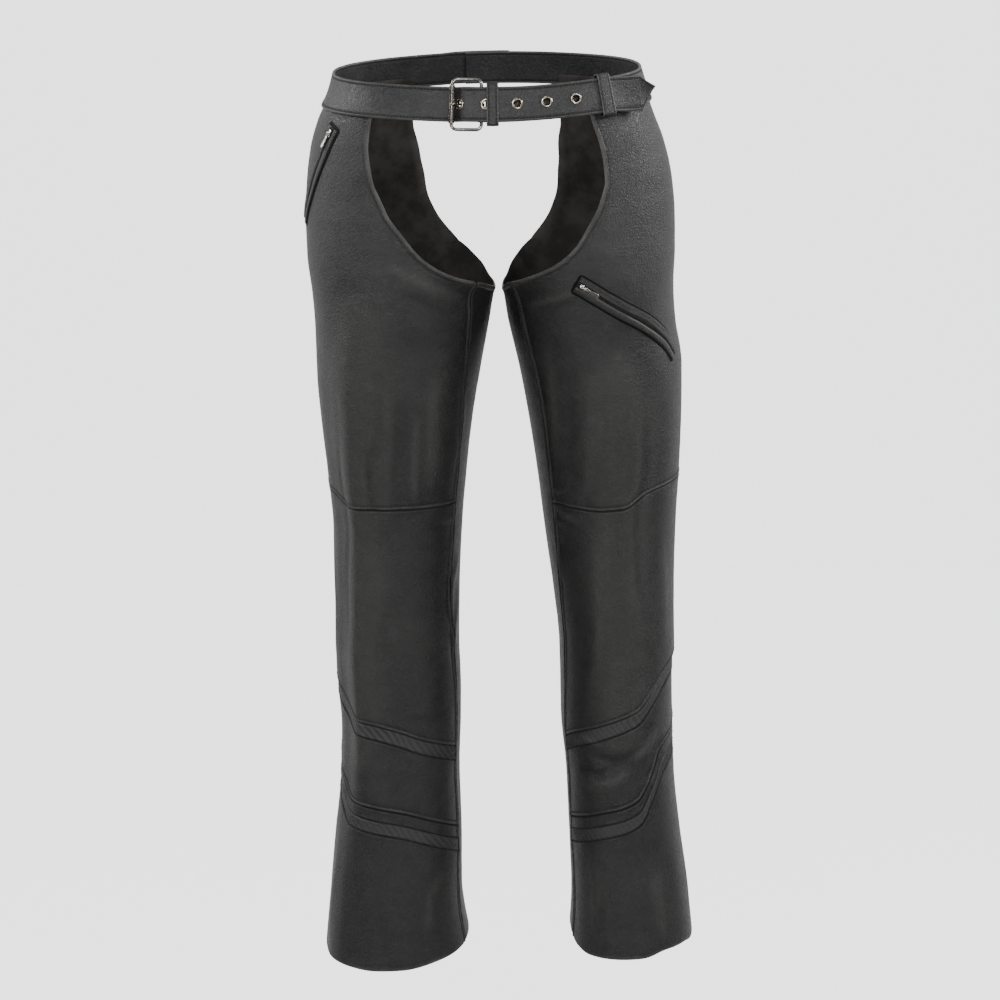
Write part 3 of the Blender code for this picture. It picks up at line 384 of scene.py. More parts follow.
def fit(piece: Piece, node: str = "", body: str = "chaps") -> None:
    """Fix a piece to its body, and hide its solid where it has one."""
    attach(piece, body)
    if node:
        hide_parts(node)
    LOG.info("%s: %d faces", piece.name, len(piece.data.polygons))


# --- Finishes ----------------------------------------------------------------------------


# Noise scales are repeats for each metre, and the rest are shares of a colour or a value
# How dark painted shade in seams, grooves and troughs is, as a share of a colour
SEAM_SHADE = 0.1
WHITE = (1.0, 1.0, 1.0, 1.0)
FLOAT = "NodeSocketFloat"
VECTOR = "NodeSocketVector"


def shade(colour: Colour, factor: float = 1.0) -> tuple[float, ...]:
    """A colour made darker or lighter, with full cover."""
    return tuple(factor * part for part in colour) + (1.0,)


class Wiring:
    """Short calls for adding and joining the nodes of one tree."""

    def __init__(self, tree: NodeTree) -> None:
        """Work in a node tree."""
        self.tree = tree

    def node(self, kind: str, **settings: object) -> bpy.types.Node:
        """Add a node and set its properties."""
        made = self.tree.nodes.new(kind)
        for label, value in settings.items():
            setattr(made, label, value)
        return made

    def feed(self, socket: Socket, value: object) -> None:
        """Join a socket to another, or set its value."""
        if isinstance(value, Socket):
            self.tree.links.new(value, socket)
        else:
            socket.default_value = value

    def feed_all(self, made: bpy.types.Node, values: dict[str | int, object]) -> bpy.types.Node:
        """Feed several inputs of a node."""
        for label, value in values.items():
            self.feed(made.inputs[label], value)
        return made

    def maths(self, operation: str, *values: object, clamp: bool = False) -> Socket:
        """A Math node's result."""
        made = self.node("ShaderNodeMath", operation=operation, use_clamp=clamp)
        return self.feed_all(made, dict(enumerate(values))).outputs[0]

    def times(self, a: object, b: object) -> Socket:
        """a times b."""
        return self.maths("MULTIPLY", a, b)

    def minus(self, a: object, b: object) -> Socket:
        """a less b."""
        return self.maths("SUBTRACT", a, b)

    def mad(self, a: object, b: object, c: object, clamp: bool = False) -> Socket:
        """a times b, plus c."""
        return self.maths("MULTIPLY_ADD", a, b, c, clamp=clamp)

    def noise(self, vector: object, scale: float, detail: float = 2.0, roughness: float = 0.5,
              output: str = "Fac") -> Socket:
        """A Noise Texture's factor or colour."""
        return self.feed_all(self.node("ShaderNodeTexNoise"),
                             {"Vector": vector, "Scale": scale, "Detail": detail,
                              "Roughness": roughness}).outputs[output]

    def cells(self, vector: object, scale: float) -> Socket:
        """A Voronoi Texture's distance to the edges of its cells."""
        made = self.node("ShaderNodeTexVoronoi", feature="DISTANCE_TO_EDGE")
        return self.feed_all(made, {"Vector": vector, "Scale": scale}).outputs["Distance"]

    def between(self, factor: object, low: object, high: object) -> Socket:
        """A mix of two colours by a factor."""
        made = self.node("ShaderNodeMix", data_type="RGBA")
        return self.feed_all(made, {0: factor, 6: low, 7: high}).outputs[2]

    def ramp(self, value: object, low: float, high: float, to_low: float = 0.0,
             to_high: float = 1.0) -> Socket:
        """A value carried from one range to another, held at its ends."""
        made = self.node("ShaderNodeMapRange", interpolation_type="SMOOTHSTEP")
        return self.feed_all(made, {"Value": value, "From Min": low, "From Max": high,
                                    "To Min": to_low, "To Max": to_high}).outputs["Result"]

    def place(self) -> Socket:
        """Object coordinates, in metres."""
        return self.node("ShaderNodeTexCoord").outputs["Object"]

    def mask(self, name: str) -> Socket:
        """A mask of the mesh."""
        return self.node("ShaderNodeAttribute", attribute_name=name).outputs["Fac"]

    def axis(self, vector: object, index: int) -> Socket:
        """One axis of a vector."""
        return self.feed_all(self.node("ShaderNodeSeparateXYZ"), {0: vector}).outputs[index]

    def bump(self, height: object, depth: float) -> bpy.types.Node:
        """A Bump node of a depth in metres."""
        return self.feed_all(self.node("ShaderNodeBump"), {"Height": height, "Distance": depth})

    def seen(self) -> Socket:
        """1 where the camera looks straight at the surface, and 0 for any other ray."""
        return self.node("ShaderNodeLightPath").outputs["Is Camera Ray"]

    def group(self, tree: NodeTree, **values: object) -> dict[str, object]:
        """Place a group and feed its inputs; gives its outputs by name."""
        made = self.node("ShaderNodeGroup", node_tree=tree)
        self.feed_all(made, {label.capitalize(): value for label, value in values.items()})
        return {socket.name: socket for socket in made.outputs}


class Groups:
    """Shader groups that several finishes share."""

    def __init__(self) -> None:
        """Build each group once."""
        self.grain = self.make("hide_grain", {"Place": VECTOR, "Pebble": FLOAT},
                               ("Height", "Valley", "Wrinkle"), self.hide_grain)
        self.tone = self.make("uneven_tone", {"Place": VECTOR}, ("Broad", "Blotch", "Speck"),
                              self.uneven_tone)
        self.weave = self.make("plain_weave", {"Place": VECTOR, "Yarns": FLOAT}, ("Height",),
                               self.plain_weave)

    @staticmethod
    def make(name: str, inputs: dict[str, str], outputs: Sequence[str],
             fill: Callable[..., Sequence[Socket]]) -> NodeTree:
        """A shader node group with named sockets.

        Args:
            name: The group's name.
            inputs: Name and socket type of each input.
            outputs: Name of each output, all of them values.
            fill: Makes the nodes from the wiring and the inputs, and gives the outputs.

        Returns:
            The node tree.
        """
        tree = bpy.data.node_groups.new(name, "ShaderNodeTree")
        for label, kind in inputs.items():
            tree.interface.new_socket(name=label, in_out="INPUT", socket_type=kind)
        for label in outputs:
            tree.interface.new_socket(name=label, in_out="OUTPUT", socket_type=FLOAT)
        w = Wiring(tree)
        first, last = w.node("NodeGroupInput"), w.node("NodeGroupOutput")
        made = fill(w, *(first.outputs[label] for label in inputs))
        w.feed_all(last, dict(zip(outputs, made)))
        return tree

    @staticmethod
    def hide_grain(w: Wiring, place: object, pebble: object) -> Sequence[Socket]:
        """Hide grain: pebbles between fine valleys, bent by noise, and crossing wrinkles."""
        scaled = w.node("ShaderNodeVectorMath", operation="SCALE")
        w.feed_all(scaled, {0: place, "Scale": pebble})
        bent = w.node("ShaderNodeMix", data_type="VECTOR")
        bend = w.noise(scaled.outputs[0], 420.0, output="Color")
        spot = w.feed_all(bent, {0: 0.0012, 4: scaled.outputs[0], 5: bend}).outputs[1]
        coarse = w.ramp(w.cells(spot, 620.0), 0.0, 0.35)
        fine = w.ramp(w.cells(spot, 1300.0), 0.0, 0.3)
        height = w.mad(fine, 0.35, w.times(coarse, 0.65))
        fold = w.minus(w.noise(spot, 290.0, 4.0, 0.55), 0.5)
        crossed = w.minus(w.noise(spot, 120.0), 0.5)
        fold = w.mad(crossed, 0.12, w.maths("ABSOLUTE", fold))
        return height, w.minus(1.0, height), w.ramp(fold, 0.0, 0.11)

    @staticmethod
    def uneven_tone(w: Wiring, place: object) -> Sequence[Socket]:
        """Uneven tone: clouds at three sizes, centred on one half."""
        return (w.noise(place, 5.0), w.noise(place, 38.0, 4.0, 0.62),
                w.noise(place, 330.0, 2.0, 0.6))

    @staticmethod
    def plain_weave(w: Wiring, place: object, yarns: object) -> Sequence[Socket]:
        """Plain weave: crossed waves of yarn on a flat coordinate in metres."""
        waves = []
        for index in (0, 1):
            turn = w.times(w.axis(place, index), yarns)
            waves.append(w.maths("SINE", w.times(turn, 2 * math.pi)))
        return (w.mad(w.times(*waves), 0.5, 0.5),)


@dataclass(frozen=True)
class Finish:
    """A named finish of one colour; each kind says what its shader's sockets get."""

    name: str
    colour: Colour

    def sockets(self, w: Wiring, groups: Groups, place: object) -> dict[str, object]:
        """What the shader's sockets get, by name."""
        raise NotImplementedError

    def build(self, groups: Groups | None = None) -> Material:
        """Make the material."""
        material = bpy.data.materials.new(self.name)
        material.use_nodes = True
        w = Wiring(material.node_tree)
        shader = material.node_tree.nodes["Principled BSDF"]
        w.feed_all(shader, self.sockets(w, groups, w.place()))
        return material


@dataclass(frozen=True)
class Leather(Finish):
    """A grained leather: its shine, where it wears and takes painted sheen, and its grain's depth.
    """

    # Colour of rubbed edges; the same colour also paints sheen on crease crests, roll crests and
    # welt mouths
    worn: Colour
    roughness: float
    pebble: float
    grain_depth: float
    wrinkle_depth: float
    dark: float = 0.45
    light: float = 1.80

    def sockets(self, w: Wiring, groups: Groups, place: object) -> dict[str, object]:
        """Grain in uneven tone; the masks "edge" and "ridge" give wear and painted sheen, "seam"
        painted shade.
        """
        grain = w.group(groups.grain, place=place, pebble=self.pebble)
        tone = w.group(groups.tone, place=place)
        # Lighter where rubbed: real wear on cut and turned edges, and painted sheen on crease
        # crests, roll crests and welt mouths
        wear_and_sheen = w.times(w.ramp(tone["Blotch"], 0.35, 0.65, 0.45, 1.0), w.mask("edge"))
        wear_and_sheen = w.maths("MAXIMUM", wear_and_sheen, w.times(w.mask("ridge"), 0.22))
        seam = w.mask("seam")
        spread = w.mad(tone["Broad"], 0.25, w.times(tone["Blotch"], 0.35))
        spread = w.mad(tone["Speck"], 0.40, spread)
        base = w.between(w.ramp(spread, 0.41, 0.59), shade(self.colour, self.dark),
                         shade(self.colour, self.light))
        # Painted shade: darker in the grain's valleys and along the wrinkles' troughs
        valley_shade = w.mad(grain["Wrinkle"], -0.6, 0.6)
        valley_shade = w.mad(grain["Valley"], 0.30, valley_shade, clamp=True)
        base = w.between(valley_shade, base, shade(self.colour, self.dark))
        base = w.between(w.times(wear_and_sheen, 0.7), base, shade(self.worn))
        # Painted shade in seams, stitch grooves, wrinkle troughs and the gap round the welts
        base = w.between(seam, base, shade(self.colour, SEAM_SHADE))
        rough = w.mad(tone["Blotch"], 0.16, self.roughness - 0.08)
        rough = w.mad(grain["Valley"], 0.12, rough)
        rough = w.mad(tone["Speck"], 0.24, w.minus(rough, 0.12))
        rough = w.mad(wear_and_sheen, -0.06, rough)
        rough = w.mad(seam, 0.6, rough, clamp=True)
        creased = w.bump(grain["Wrinkle"], self.wrinkle_depth)
        relief = w.bump(grain["Height"], self.grain_depth)
        w.feed(creased.inputs["Normal"], relief.outputs["Normal"])
        return {"Base Color": base, "Roughness": rough, "Normal": creased.outputs["Normal"]}


@dataclass(frozen=True)
class FleshSide(Finish):
    """The rough inner side of the hide: fibrous, without shine."""

    def sockets(self, w: Wiring, groups: Groups, place: object) -> dict[str, object]:
        """Nap in blotches of tone."""
        tone = w.group(groups.tone, place=place)
        nap = w.noise(place, 900.0, 4.0, 0.7)
        base = w.between(w.ramp(tone["Blotch"], 0.35, 0.65), shade(self.colour, 0.7),
                         shade(self.colour, 1.35))
        return {"Base Color": base,
                "Roughness": w.mad(nap, 0.2, 0.78, clamp=True),
                "Specular IOR Level": 0.2,
                "Normal": w.bump(nap, 0.00025).outputs["Normal"]}


@dataclass(frozen=True)
class Cloth(Finish):
    """A woven tape or band: yarns on the piece's flat coordinate."""

    roughness: float
    yarns: float = 1900.0
    depth: float = 0.00012

    def sockets(self, w: Wiring, groups: Groups, place: object) -> dict[str, object]:
        """Yarns on the map "cut" with painted shade in hollows; masks "ridge" and "seam" paint
        highlight and shade.
        """
        cut = w.node("ShaderNodeUVMap", uv_map="cut").outputs["UV"]
        weave = w.group(groups.weave, place=cut, yarns=self.yarns)
        tone = w.group(groups.tone, place=place)
        # Painted shade: the yarns are darker in the weave's hollows and lighter on its crowns
        base = w.between(w.times(weave["Height"], 0.5), shade(self.colour, 0.75),
                         shade(self.colour, 1.2))
        base = w.between(w.ramp(tone["Blotch"], 0.4, 0.7, 0.0, 0.35), base,
                         shade(self.colour, 1.4))
        # Painted highlight on wrinkle crests, then painted shade in seams and wrinkle troughs
        base = w.between(w.times(w.mask("ridge"), 0.4), base, shade(self.colour, 1.6))
        base = w.between(w.mask("seam"), base, shade(self.colour, SEAM_SHADE))
        return {"Base Color": base,
                "Roughness": w.mad(tone["Blotch"], 0.2, self.roughness - 0.1),
                "Normal": w.bump(weave["Height"], self.depth).outputs["Normal"]}


@dataclass(frozen=True)
class Metal(Finish):
    """An antiqued metal: a bright face, dark in its hollows from patina and painted shade, with
    fine scratches.
    """

    tarnish: Colour
    roughness: float

    def sockets(self, w: Wiring, groups: Groups, place: object) -> dict[str, object]:
        """Spots of tarnish; the mask "seam" darkens hollows with patina and painted shade."""
        tone = w.group(groups.tone, place=place)
        worn = w.ramp(w.noise(place, 260.0, 3.0, 0.6), 0.50, 0.80)
        base = w.between(worn, shade(self.colour), shade(self.tarnish))
        # Patina and painted shade in hollows, such as inside an eyelet's bore
        base = w.between(w.mask("seam"), base, shade(self.tarnish, 0.25))
        rough = w.mad(worn, 0.16, self.roughness)
        return {"Base Color": base, "Metallic": 1.0,
                "Roughness": w.mad(tone["Blotch"], 0.08, rough, clamp=True),
                "Normal": w.bump(w.noise(place, 2600.0), 0.00003).outputs["Normal"]}


@dataclass(frozen=True)
class Thread(Finish):
    """Waxed thread or cord: twisted, with a low shine."""

    specular: float = 0.5

    def sockets(self, w: Wiring, groups: Groups, place: object) -> dict[str, object]:
        """Twist seen in tone, shine and relief."""
        twist = w.noise(place, 2200.0, 1.0)
        return {"Base Color": w.between(twist, shade(self.colour, 0.6), shade(self.colour, 1.7)),
                "Roughness": w.mad(twist, 0.2, 0.42),
                "Specular IOR Level": self.specular,
                "Normal": w.bump(twist, 0.00008).outputs["Normal"]}


@dataclass(frozen=True)
class Paper(Finish):
    """Backdrop paper that glows evenly to the camera and spills a little light behind."""

    glow: float
    spill: float

    def sockets(self, w: Wiring, groups: Groups, place: object) -> dict[str, object]:
        """A matt sheet; its glow is masked by the kind of ray and by the depth."""
        spill = w.ramp(w.axis(place, 1), 0.2, 0.9, 0.0, self.spill)
        lit = w.times(w.maths("MAXIMUM", w.seen(), spill), self.glow)
        return {"Base Color": shade(self.colour), "Emission Color": WHITE,
                "Emission Strength": lit, "Roughness": 1.0, "Specular IOR Level": 0.0}


class Finishes:
    """Every finish of the garment, built once."""

    def __init__(self) -> None:
        """Build the groups and the materials."""
        groups = Groups()
        # Each leather's second colour is its rubbed wear, and it also paints sheen on crests and
        # welt mouths
        self.hide = Leather("grained_hide", (0.0095, 0.0095, 0.0092), (0.090, 0.087, 0.082),
                            0.39, 0.85, 0.15 * MM, 0.32 * MM).build(groups)
        self.strap = Leather("belt_hide", (0.0130, 0.0130, 0.0135), (0.085, 0.083, 0.080),
                             0.42, 0.7, 0.15 * MM, 0.18 * MM).build(groups)
        self.flesh = FleshSide("flesh_side", (0.030, 0.028, 0.026)).build(groups)
        self.band = Cloth("band_cloth", (0.027, 0.0275, 0.0275), 0.55).build(groups)
        # The zip's tape and teeth are near black: their own dark colour, deepened to paint the
        # shade in the pocket's mouth
        self.tape = Cloth("zip_tape", (0.005, 0.005, 0.005), 0.85).build(groups)
        self.bright = Metal("bright_nickel", (0.66, 0.64, 0.61), (0.32, 0.29, 0.26),
                            0.20).build(groups)
        self.nickel = Metal("antique_nickel", (0.235, 0.222, 0.205), (0.060, 0.054, 0.048),
                            0.15).build(groups)
        # Teeth darker and rougher than their own metal, with painted shade from the pocket's mouth
        self.teeth = Metal("dark_nickel_with_shade", (0.030, 0.028, 0.027), (0.012, 0.011, 0.010),
                           0.42).build(groups)
        self.brass = Metal("antique_eyelet", (0.46, 0.40, 0.32), (0.13, 0.10, 0.07),
                           0.20).build(groups)
        self.thread = Thread("waxed_thread", (0.016, 0.016, 0.017)).build(groups)
        # A near-black, nearly matt cord that stands in for the shadow line round the pocket welts
        self.cord = Thread("shadow_line_cord", (0.004, 0.004, 0.004), 0.08).build(groups)


# --- Sewing ------------------------------------------------------------------------------


@dataclass
class Sewing:
    """Stitches gathered from many seams into one piece."""

    name: str
    pitch: float = 3.9 * MM
    length: float = 3.2 * MM
    radius: float = 0.42 * MM
    parts: list[Pair] = field(default_factory=list)

    def add(self, line: Array, normals: Array, sink: float = 0.15 * MM) -> None:
        """Lay a row of stitches along a line on a surface.

        Each stitch is a six-sided capsule: radius r(t) = r (1 - 0.65 t^6) and height
        h(t) = r (0.7 - 1.5 t^4) - sink, for t from -1 to 1 along it.

        Args:
            line: Points of the seam.
            normals: The surface's normals there.
            sink: How deep the thread lies in the leather.
        """
        run = run_along(line)
        count = int(run[-1] / self.pitch)
        if count < 2:
            return
        centres = (np.arange(count) + 0.5) * run[-1] / count
        along = unit(read_at(centres + self.length / 2, run, line)
                     - read_at(centres - self.length / 2, run, line))
        out = read_at(centres, run, normals)
        out = unit(out - along * np.sum(out * along, -1, keepdims=True))
        side = np.cross(out, along)
        t = np.array([-1.0, -0.62, 0.0, 0.62, 1.0])
        turn = round_turns(6)
        thick = self.radius * (1 - 0.65 * t**6)
        height = self.radius * (0.7 - 1.5 * t**4) - sink
        x = np.broadcast_to((t * self.length / 2)[:, None], (5, 6))
        y = thick[:, None] * np.cos(turn)
        z = height[:, None] + thick[:, None] * np.sin(turn)
        centre = read_at(centres, run, line)
        points = (centre[:, None, None] + along[:, None, None] * x[..., None]
                  + side[:, None, None] * y[..., None] + out[:, None, None] * z[..., None])
        faces = ring_faces(5, 6, False)
        ends = np.array([[0, 1, 2, 3], [0, 3, 4, 5], [27, 26, 25, 24], [29, 28, 27, 24]])
        faces = np.concatenate([faces, ends[:, ::-1]])
        every = faces[None] + (np.arange(count) * 30)[:, None, None]
        self.parts.append((points.reshape(-1, 3), every.reshape(-1, 4)))

    def build(self, finish: Material) -> None:
        """Make the piece."""
        points, faces = join_parts(self.parts)
        fit(make_piece(self.name, points, faces, [finish]))


# --- Legs --------------------------------------------------------------------------------


class Leg(Enum):
    """Which leg of the wearer."""

    RIGHT = "right"
    LEFT = "left"

    @property
    def side(self) -> float:
        """-1 for the right leg, 1 for the left."""
        return -1.0 if self is Leg.RIGHT else 1.0


class Edge(Enum):
    """How the edge of a panel is finished."""

    SEWN = "sewn to its neighbour"
    TOPSTITCHED = "sewn, laid over and stitched down"
    TURNED = "turned under and stitched"
    CUT = "cut"
    TUCKED = "behind the belt"


@dataclass(frozen=True)
class Fold:
    """A soft ridge or trough along a line of places, fading towards both its ends."""

    path: tuple[tuple[float, float], ...]
    rise: float
    half_width: float
    ends: float = 4.0
    crisp: bool = False

    def lift(self, angle: Array, height: Array, per_degree: float) -> Array:
        """Its height: rise (1 - (2s - 1)^ends) exp(-(off / half width)^2).

        A crisp one is a pressed crease: its last part is exp(-(r - 2) / half width), where
        r is the root of off^2 + 4, so that its two sides meet along a tight line.

        Args:
            angle: Angles in degrees.
            height: Heights in mm.
            per_degree: Millimetres round the leg for a degree.

        Returns:
            Heights in mm, where s runs from 0 to 1 along the line and off is the distance.
        """
        lengths = [math.hypot((b[0] - a[0]) * per_degree, b[1] - a[1])
                   for a, b in zip(self.path, self.path[1:])]
        total, before = sum(lengths), 0.0
        nearest = np.full(np.broadcast(angle, height).shape, 1e9)
        along = np.zeros(nearest.shape)
        for (a, b), length in zip(zip(self.path, self.path[1:]), lengths):
            across = ((angle - a[0] + 180.0) % FULL_TURN - 180.0) * per_degree
            up = height - a[1]
            run_across, run_up = (b[0] - a[0]) * per_degree, b[1] - a[1]
            share = np.clip((across * run_across + up * run_up) / length**2, 0.0, 1.0)
            off = np.hypot(across - share * run_across, up - share * run_up)
            closer = off < nearest
            nearest = np.where(closer, off, nearest)
            along = np.where(closer, (before + share * length) / total, along)
            before += length
        taper = 1.0 - np.abs(2.0 * along - 1.0) ** self.ends
        if self.crisp:
            return self.rise * taper * np.exp(-(np.hypot(nearest, 2.0) - 2.0) / self.half_width)
        return self.rise * taper * bump(nearest, 0.0, self.half_width)


MM_PER_DEGREE = 1.6

# Large folds of each leg: angle and height mm at both ends, lift mm, half width mm
FORM_FOLDS = {
    Leg.RIGHT: (
        (118, -230, 124, -1000, 2.6, 15),
        (138, -250, 143, -980, -1.6, 15),
        (60, -270, 51, -470, 2.4, 20),
        (84, -250, 78, -440, -1.4, 22),
        (100, -165, 50, -232, -1.4, 9),
        (96, -190, 48, -250, 1.5, 9),
        (20, -560, 34, -640, 2.0, 14),
        (60, -700, 74, -960, -1.2, 20),
        (300, -470, 240, -490, -2.2, 13),
        (310, -505, 235, -520, 1.8, 12),
        (262, -280, 270, -440, 1.8, 22),
        (238, -560, 246, -960, 1.8, 20),
        (300, -620, 290, -930, -1.5, 20),
    ),
    Leg.LEFT: (
        (104, -300, 97, -640, 2.4, 15),
        (124, -310, 118, -620, -1.6, 15),
        (82, -470, 68, -700, 2.2, 18),
        (66, -260, 60, -450, -1.4, 20),
        (92, -200, 46, -236, 1.2, 9),
        (120, -870, 126, -1000, -1.6, 16),
        (70, -880, 64, -1000, 1.5, 18),
        (300, -465, 245, -480, -2.0, 13),
        (306, -500, 238, -512, 1.7, 12),
        (280, -290, 262, -430, 1.7, 22),
        (236, -580, 242, -950, 1.6, 20),
        (296, -640, 300, -940, -1.5, 20),
    ),
}

# Finer creases of each leg: places as angle and height mm, lift mm, half width mm
CREASES = {
    Leg.RIGHT: (
        (((127, -300), (129, -480), (131, -640)), -1.2, 6.0),
        (((104, -178), (76, -206), (50, -226)), 1.4, 4.0),
        (((92, -208), (66, -236), (48, -262)), -1.0, 4.0),
        (((50, -286), (44, -350), (42, -430)), 1.2, 6.0),
        (((70, -300), (66, -380), (64, -445)), 1.4, 8.0),
        (((97, -310), (95, -380), (96, -462)), 1.2, 4.5),
        (((88, -330), (86, -400), (86, -466)), -1.3, 4.5),
        (((78, -340), (77, -410), (76, -464)), 1.3, 4.5),
        (((106, -380), (106, -430), (108, -470)), -1.2, 5.0),
        (((30, -470), (44, -478), (60, -476)), 1.0, 3.5),
        (((24, -520), (36, -556), (38, -600)), 1.5, 5.0),
        (((28, -575), (36, -620), (34, -690)), -1.4, 5.0),
        (((168, -480), (160, -560), (158, -640)), 1.4, 7.0),
        (((176, -500), (172, -600), (170, -680)), -1.0, 6.0),
        (((40, -700), (60, -716), (80, -712)), -0.8, 5.0),
        (((46, -900), (60, -930), (62, -985)), 1.0, 7.0),
        (((100, -890), (104, -950), (102, -1000)), -0.8, 8.0),
        (((152, -880), (156, -940), (158, -1000)), 1.2, 8.0),
        (((120, -800), (122, -930), (127, -1130)), -3.0, 17.0),
        (((146, -800), (148, -930), (152, -1130)), 2.0, 18.0),
        (((286, -455), (258, -462), (236, -474)), 1.5, 5.0),
        (((296, -520), (262, -532), (232, -528)), -1.5, 5.0),
        (((308, -540), (284, -560), (262, -560)), 1.2, 5.0),
        (((330, -240), (300, -262), (268, -258)), 1.4, 7.0),
        (((322, -272), (296, -300), (266, -306)), -1.2, 7.0),
        (((250, -330), (256, -400), (252, -450)), 1.0, 6.0),
        (((268, -600), (272, -700), (266, -800)), 1.2, 8.0),
        (((222, -820), (228, -900), (224, -980)), -1.0, 7.0),
        (((320, -800), (316, -880), (318, -980)), 1.4, 8.0),
    ),
    Leg.LEFT: (
        (((112, -330), (108, -470), (108, -600)), -1.2, 6.0),
        (((84, -300), (80, -400), (74, -455)), 1.2, 7.0),
        (((70, -290), (66, -380), (62, -450)), -0.8, 7.0),
        (((58, -260), (54, -340), (52, -430)), 1.0, 6.0),
        (((90, -206), (68, -222), (48, -232)), 1.2, 4.0),
        (((92, -320), (90, -390), (90, -462)), 1.2, 5.0),
        (((98, -350), (97, -420), (98, -470)), -1.2, 4.5),
        (((40, -440), (50, -446), (60, -443)), 1.2, 2.6),
        (((38, -452), (48, -460), (60, -461)), -1.2, 2.6),
        (((37, -470), (46, -482), (56, -488)), 1.4, 2.8),
        (((38, -500), (44, -520), (46, -560)), 1.4, 4.0),
        (((40, -455), (52, -474), (70, -480)), 1.2, 4.0),
        (((80, -490), (76, -580), (70, -680)), 1.0, 7.0),
        (((132, -480), (136, -560), (132, -640)), 0.8, 8.0),
        (((60, -760), (84, -770), (104, -758)), -2.2, 7.0),
        (((56, -800), (80, -796), (98, -780)), 1.8, 6.0),
        (((98, -770), (112, -756), (122, -730)), 1.9, 5.0),
        (((52, -775), (66, -786), (92, -772)), -2.0, 4.5),
        (((48, -748), (60, -742), (76, -750)), 1.6, 4.0),
        (((104, -800), (116, -792), (126, -764)), 1.8, 4.5),
        (((110, -800), (120, -780), (128, -740)), -1.6, 5.0),
        (((56, -880), (60, -930), (58, -985)), 1.0, 7.0),
        (((96, -880), (98, -940), (100, -995)), -0.8, 8.0),
        (((110, -900), (113, -950), (116, -1000)), 1.2, 6.0),
        (((290, -450), (262, -458), (240, -470)), 1.5, 5.0),
        (((300, -515), (268, -528), (236, -522)), -1.5, 5.0),
        (((330, -245), (304, -268), (272, -262)), 1.4, 7.0),
        (((318, -280), (292, -306), (262, -310)), -1.2, 7.0),
        (((254, -340), (258, -410), (250, -446)), 1.0, 6.0),
        (((266, -610), (262, -710), (268, -800)), 1.2, 8.0),
        (((318, -780), (314, -880), (320, -980)), 1.4, 8.0),
        (((226, -800), (222, -890), (230, -980)), -1.0, 7.0),
    ),
}

# Pressed creases down the front and the back of each leg: places, lift mm, reach mm
PRESSED = {
    Leg.RIGHT: (
        (((116, -205), (119, -420), (120, -600), (124, -780)), 3.6, 15.0),
        (((245, -300), (243, -520), (246, -760), (246, -1000)), 1.6, 16.0),
    ),
    Leg.LEFT: (
        (((101, -270), (98, -460), (97, -620), (93, -770)), 3.4, 15.0),
        (((242, -310), (245, -540), (243, -780), (244, -1000)), 1.6, 16.0),
    ),
}

# Sections of the two legs in mm, from the waist down.
# height, right outer, right inner, left inner, left outer, front, back
LEG_ROWS = (
    (45, -160.0, 158.0, -160.0, 158.0, -108, 114),
    (30, -166.0, 164.0, -166.0, 164.0, -112, 118),
    (0, -175.5, 173.0, -175.5, 173.0, -117, 123),
    (-30, -190.5, 183.5, -190.5, 183.5, -122, 127),
    (-60, -200.0, 188.0, -191.0, 194.5, -125, 130),
    (-100, -205.5, 165.0, -160.0, 203.0, -128, 131),
    (-140, -208.0, 110.0, -100.0, 206.0, -129, 130),
    (-180, -207.5, 50.0, -35.0, 205.5, -128, 126),
    (-220, -203.5, 3.5, 10.0, 203.5, -125, 121),
    (-260, -201.5, -5.0, 17.0, 205.5, -121, 115),
    (-310, -201.5, -15.5, 27.5, 212.0, -115, 108),
    (-370, -198.0, -26.0, 37.5, 211.0, -106, 101),
    (-430, -193.5, -34.5, 45.5, 208.0, -96, 93),
    (-500, -189.0, -41.5, 53.0, 204.0, -85, 84),
    (-570, -190.0, -46.0, 61.5, 201.5, -78, 88),
    (-640, -192.5, -48.5, 68.0, 202.0, -72, 94),
    (-680, -191.5, -47.5, 68.5, 199.0, -69, 96),
    (-730, -189.0, -48.5, 68.5, 199.0, -67, 97),
    (-800, -192.0, -52.0, 73.5, 200.5, -66, 97),
    (-870, -201.0, -51.5, 75.5, 206.5, -66, 97),
    (-940, -209.0, -52.5, 77.5, 215.0, -68, 98),
    (-1030, -219.0, -40.5, 71.0, 223.0, -70, 99),
)
SECTION_POWER = 2.35
STRAP_HALF_HEIGHT = 18.4 * MM


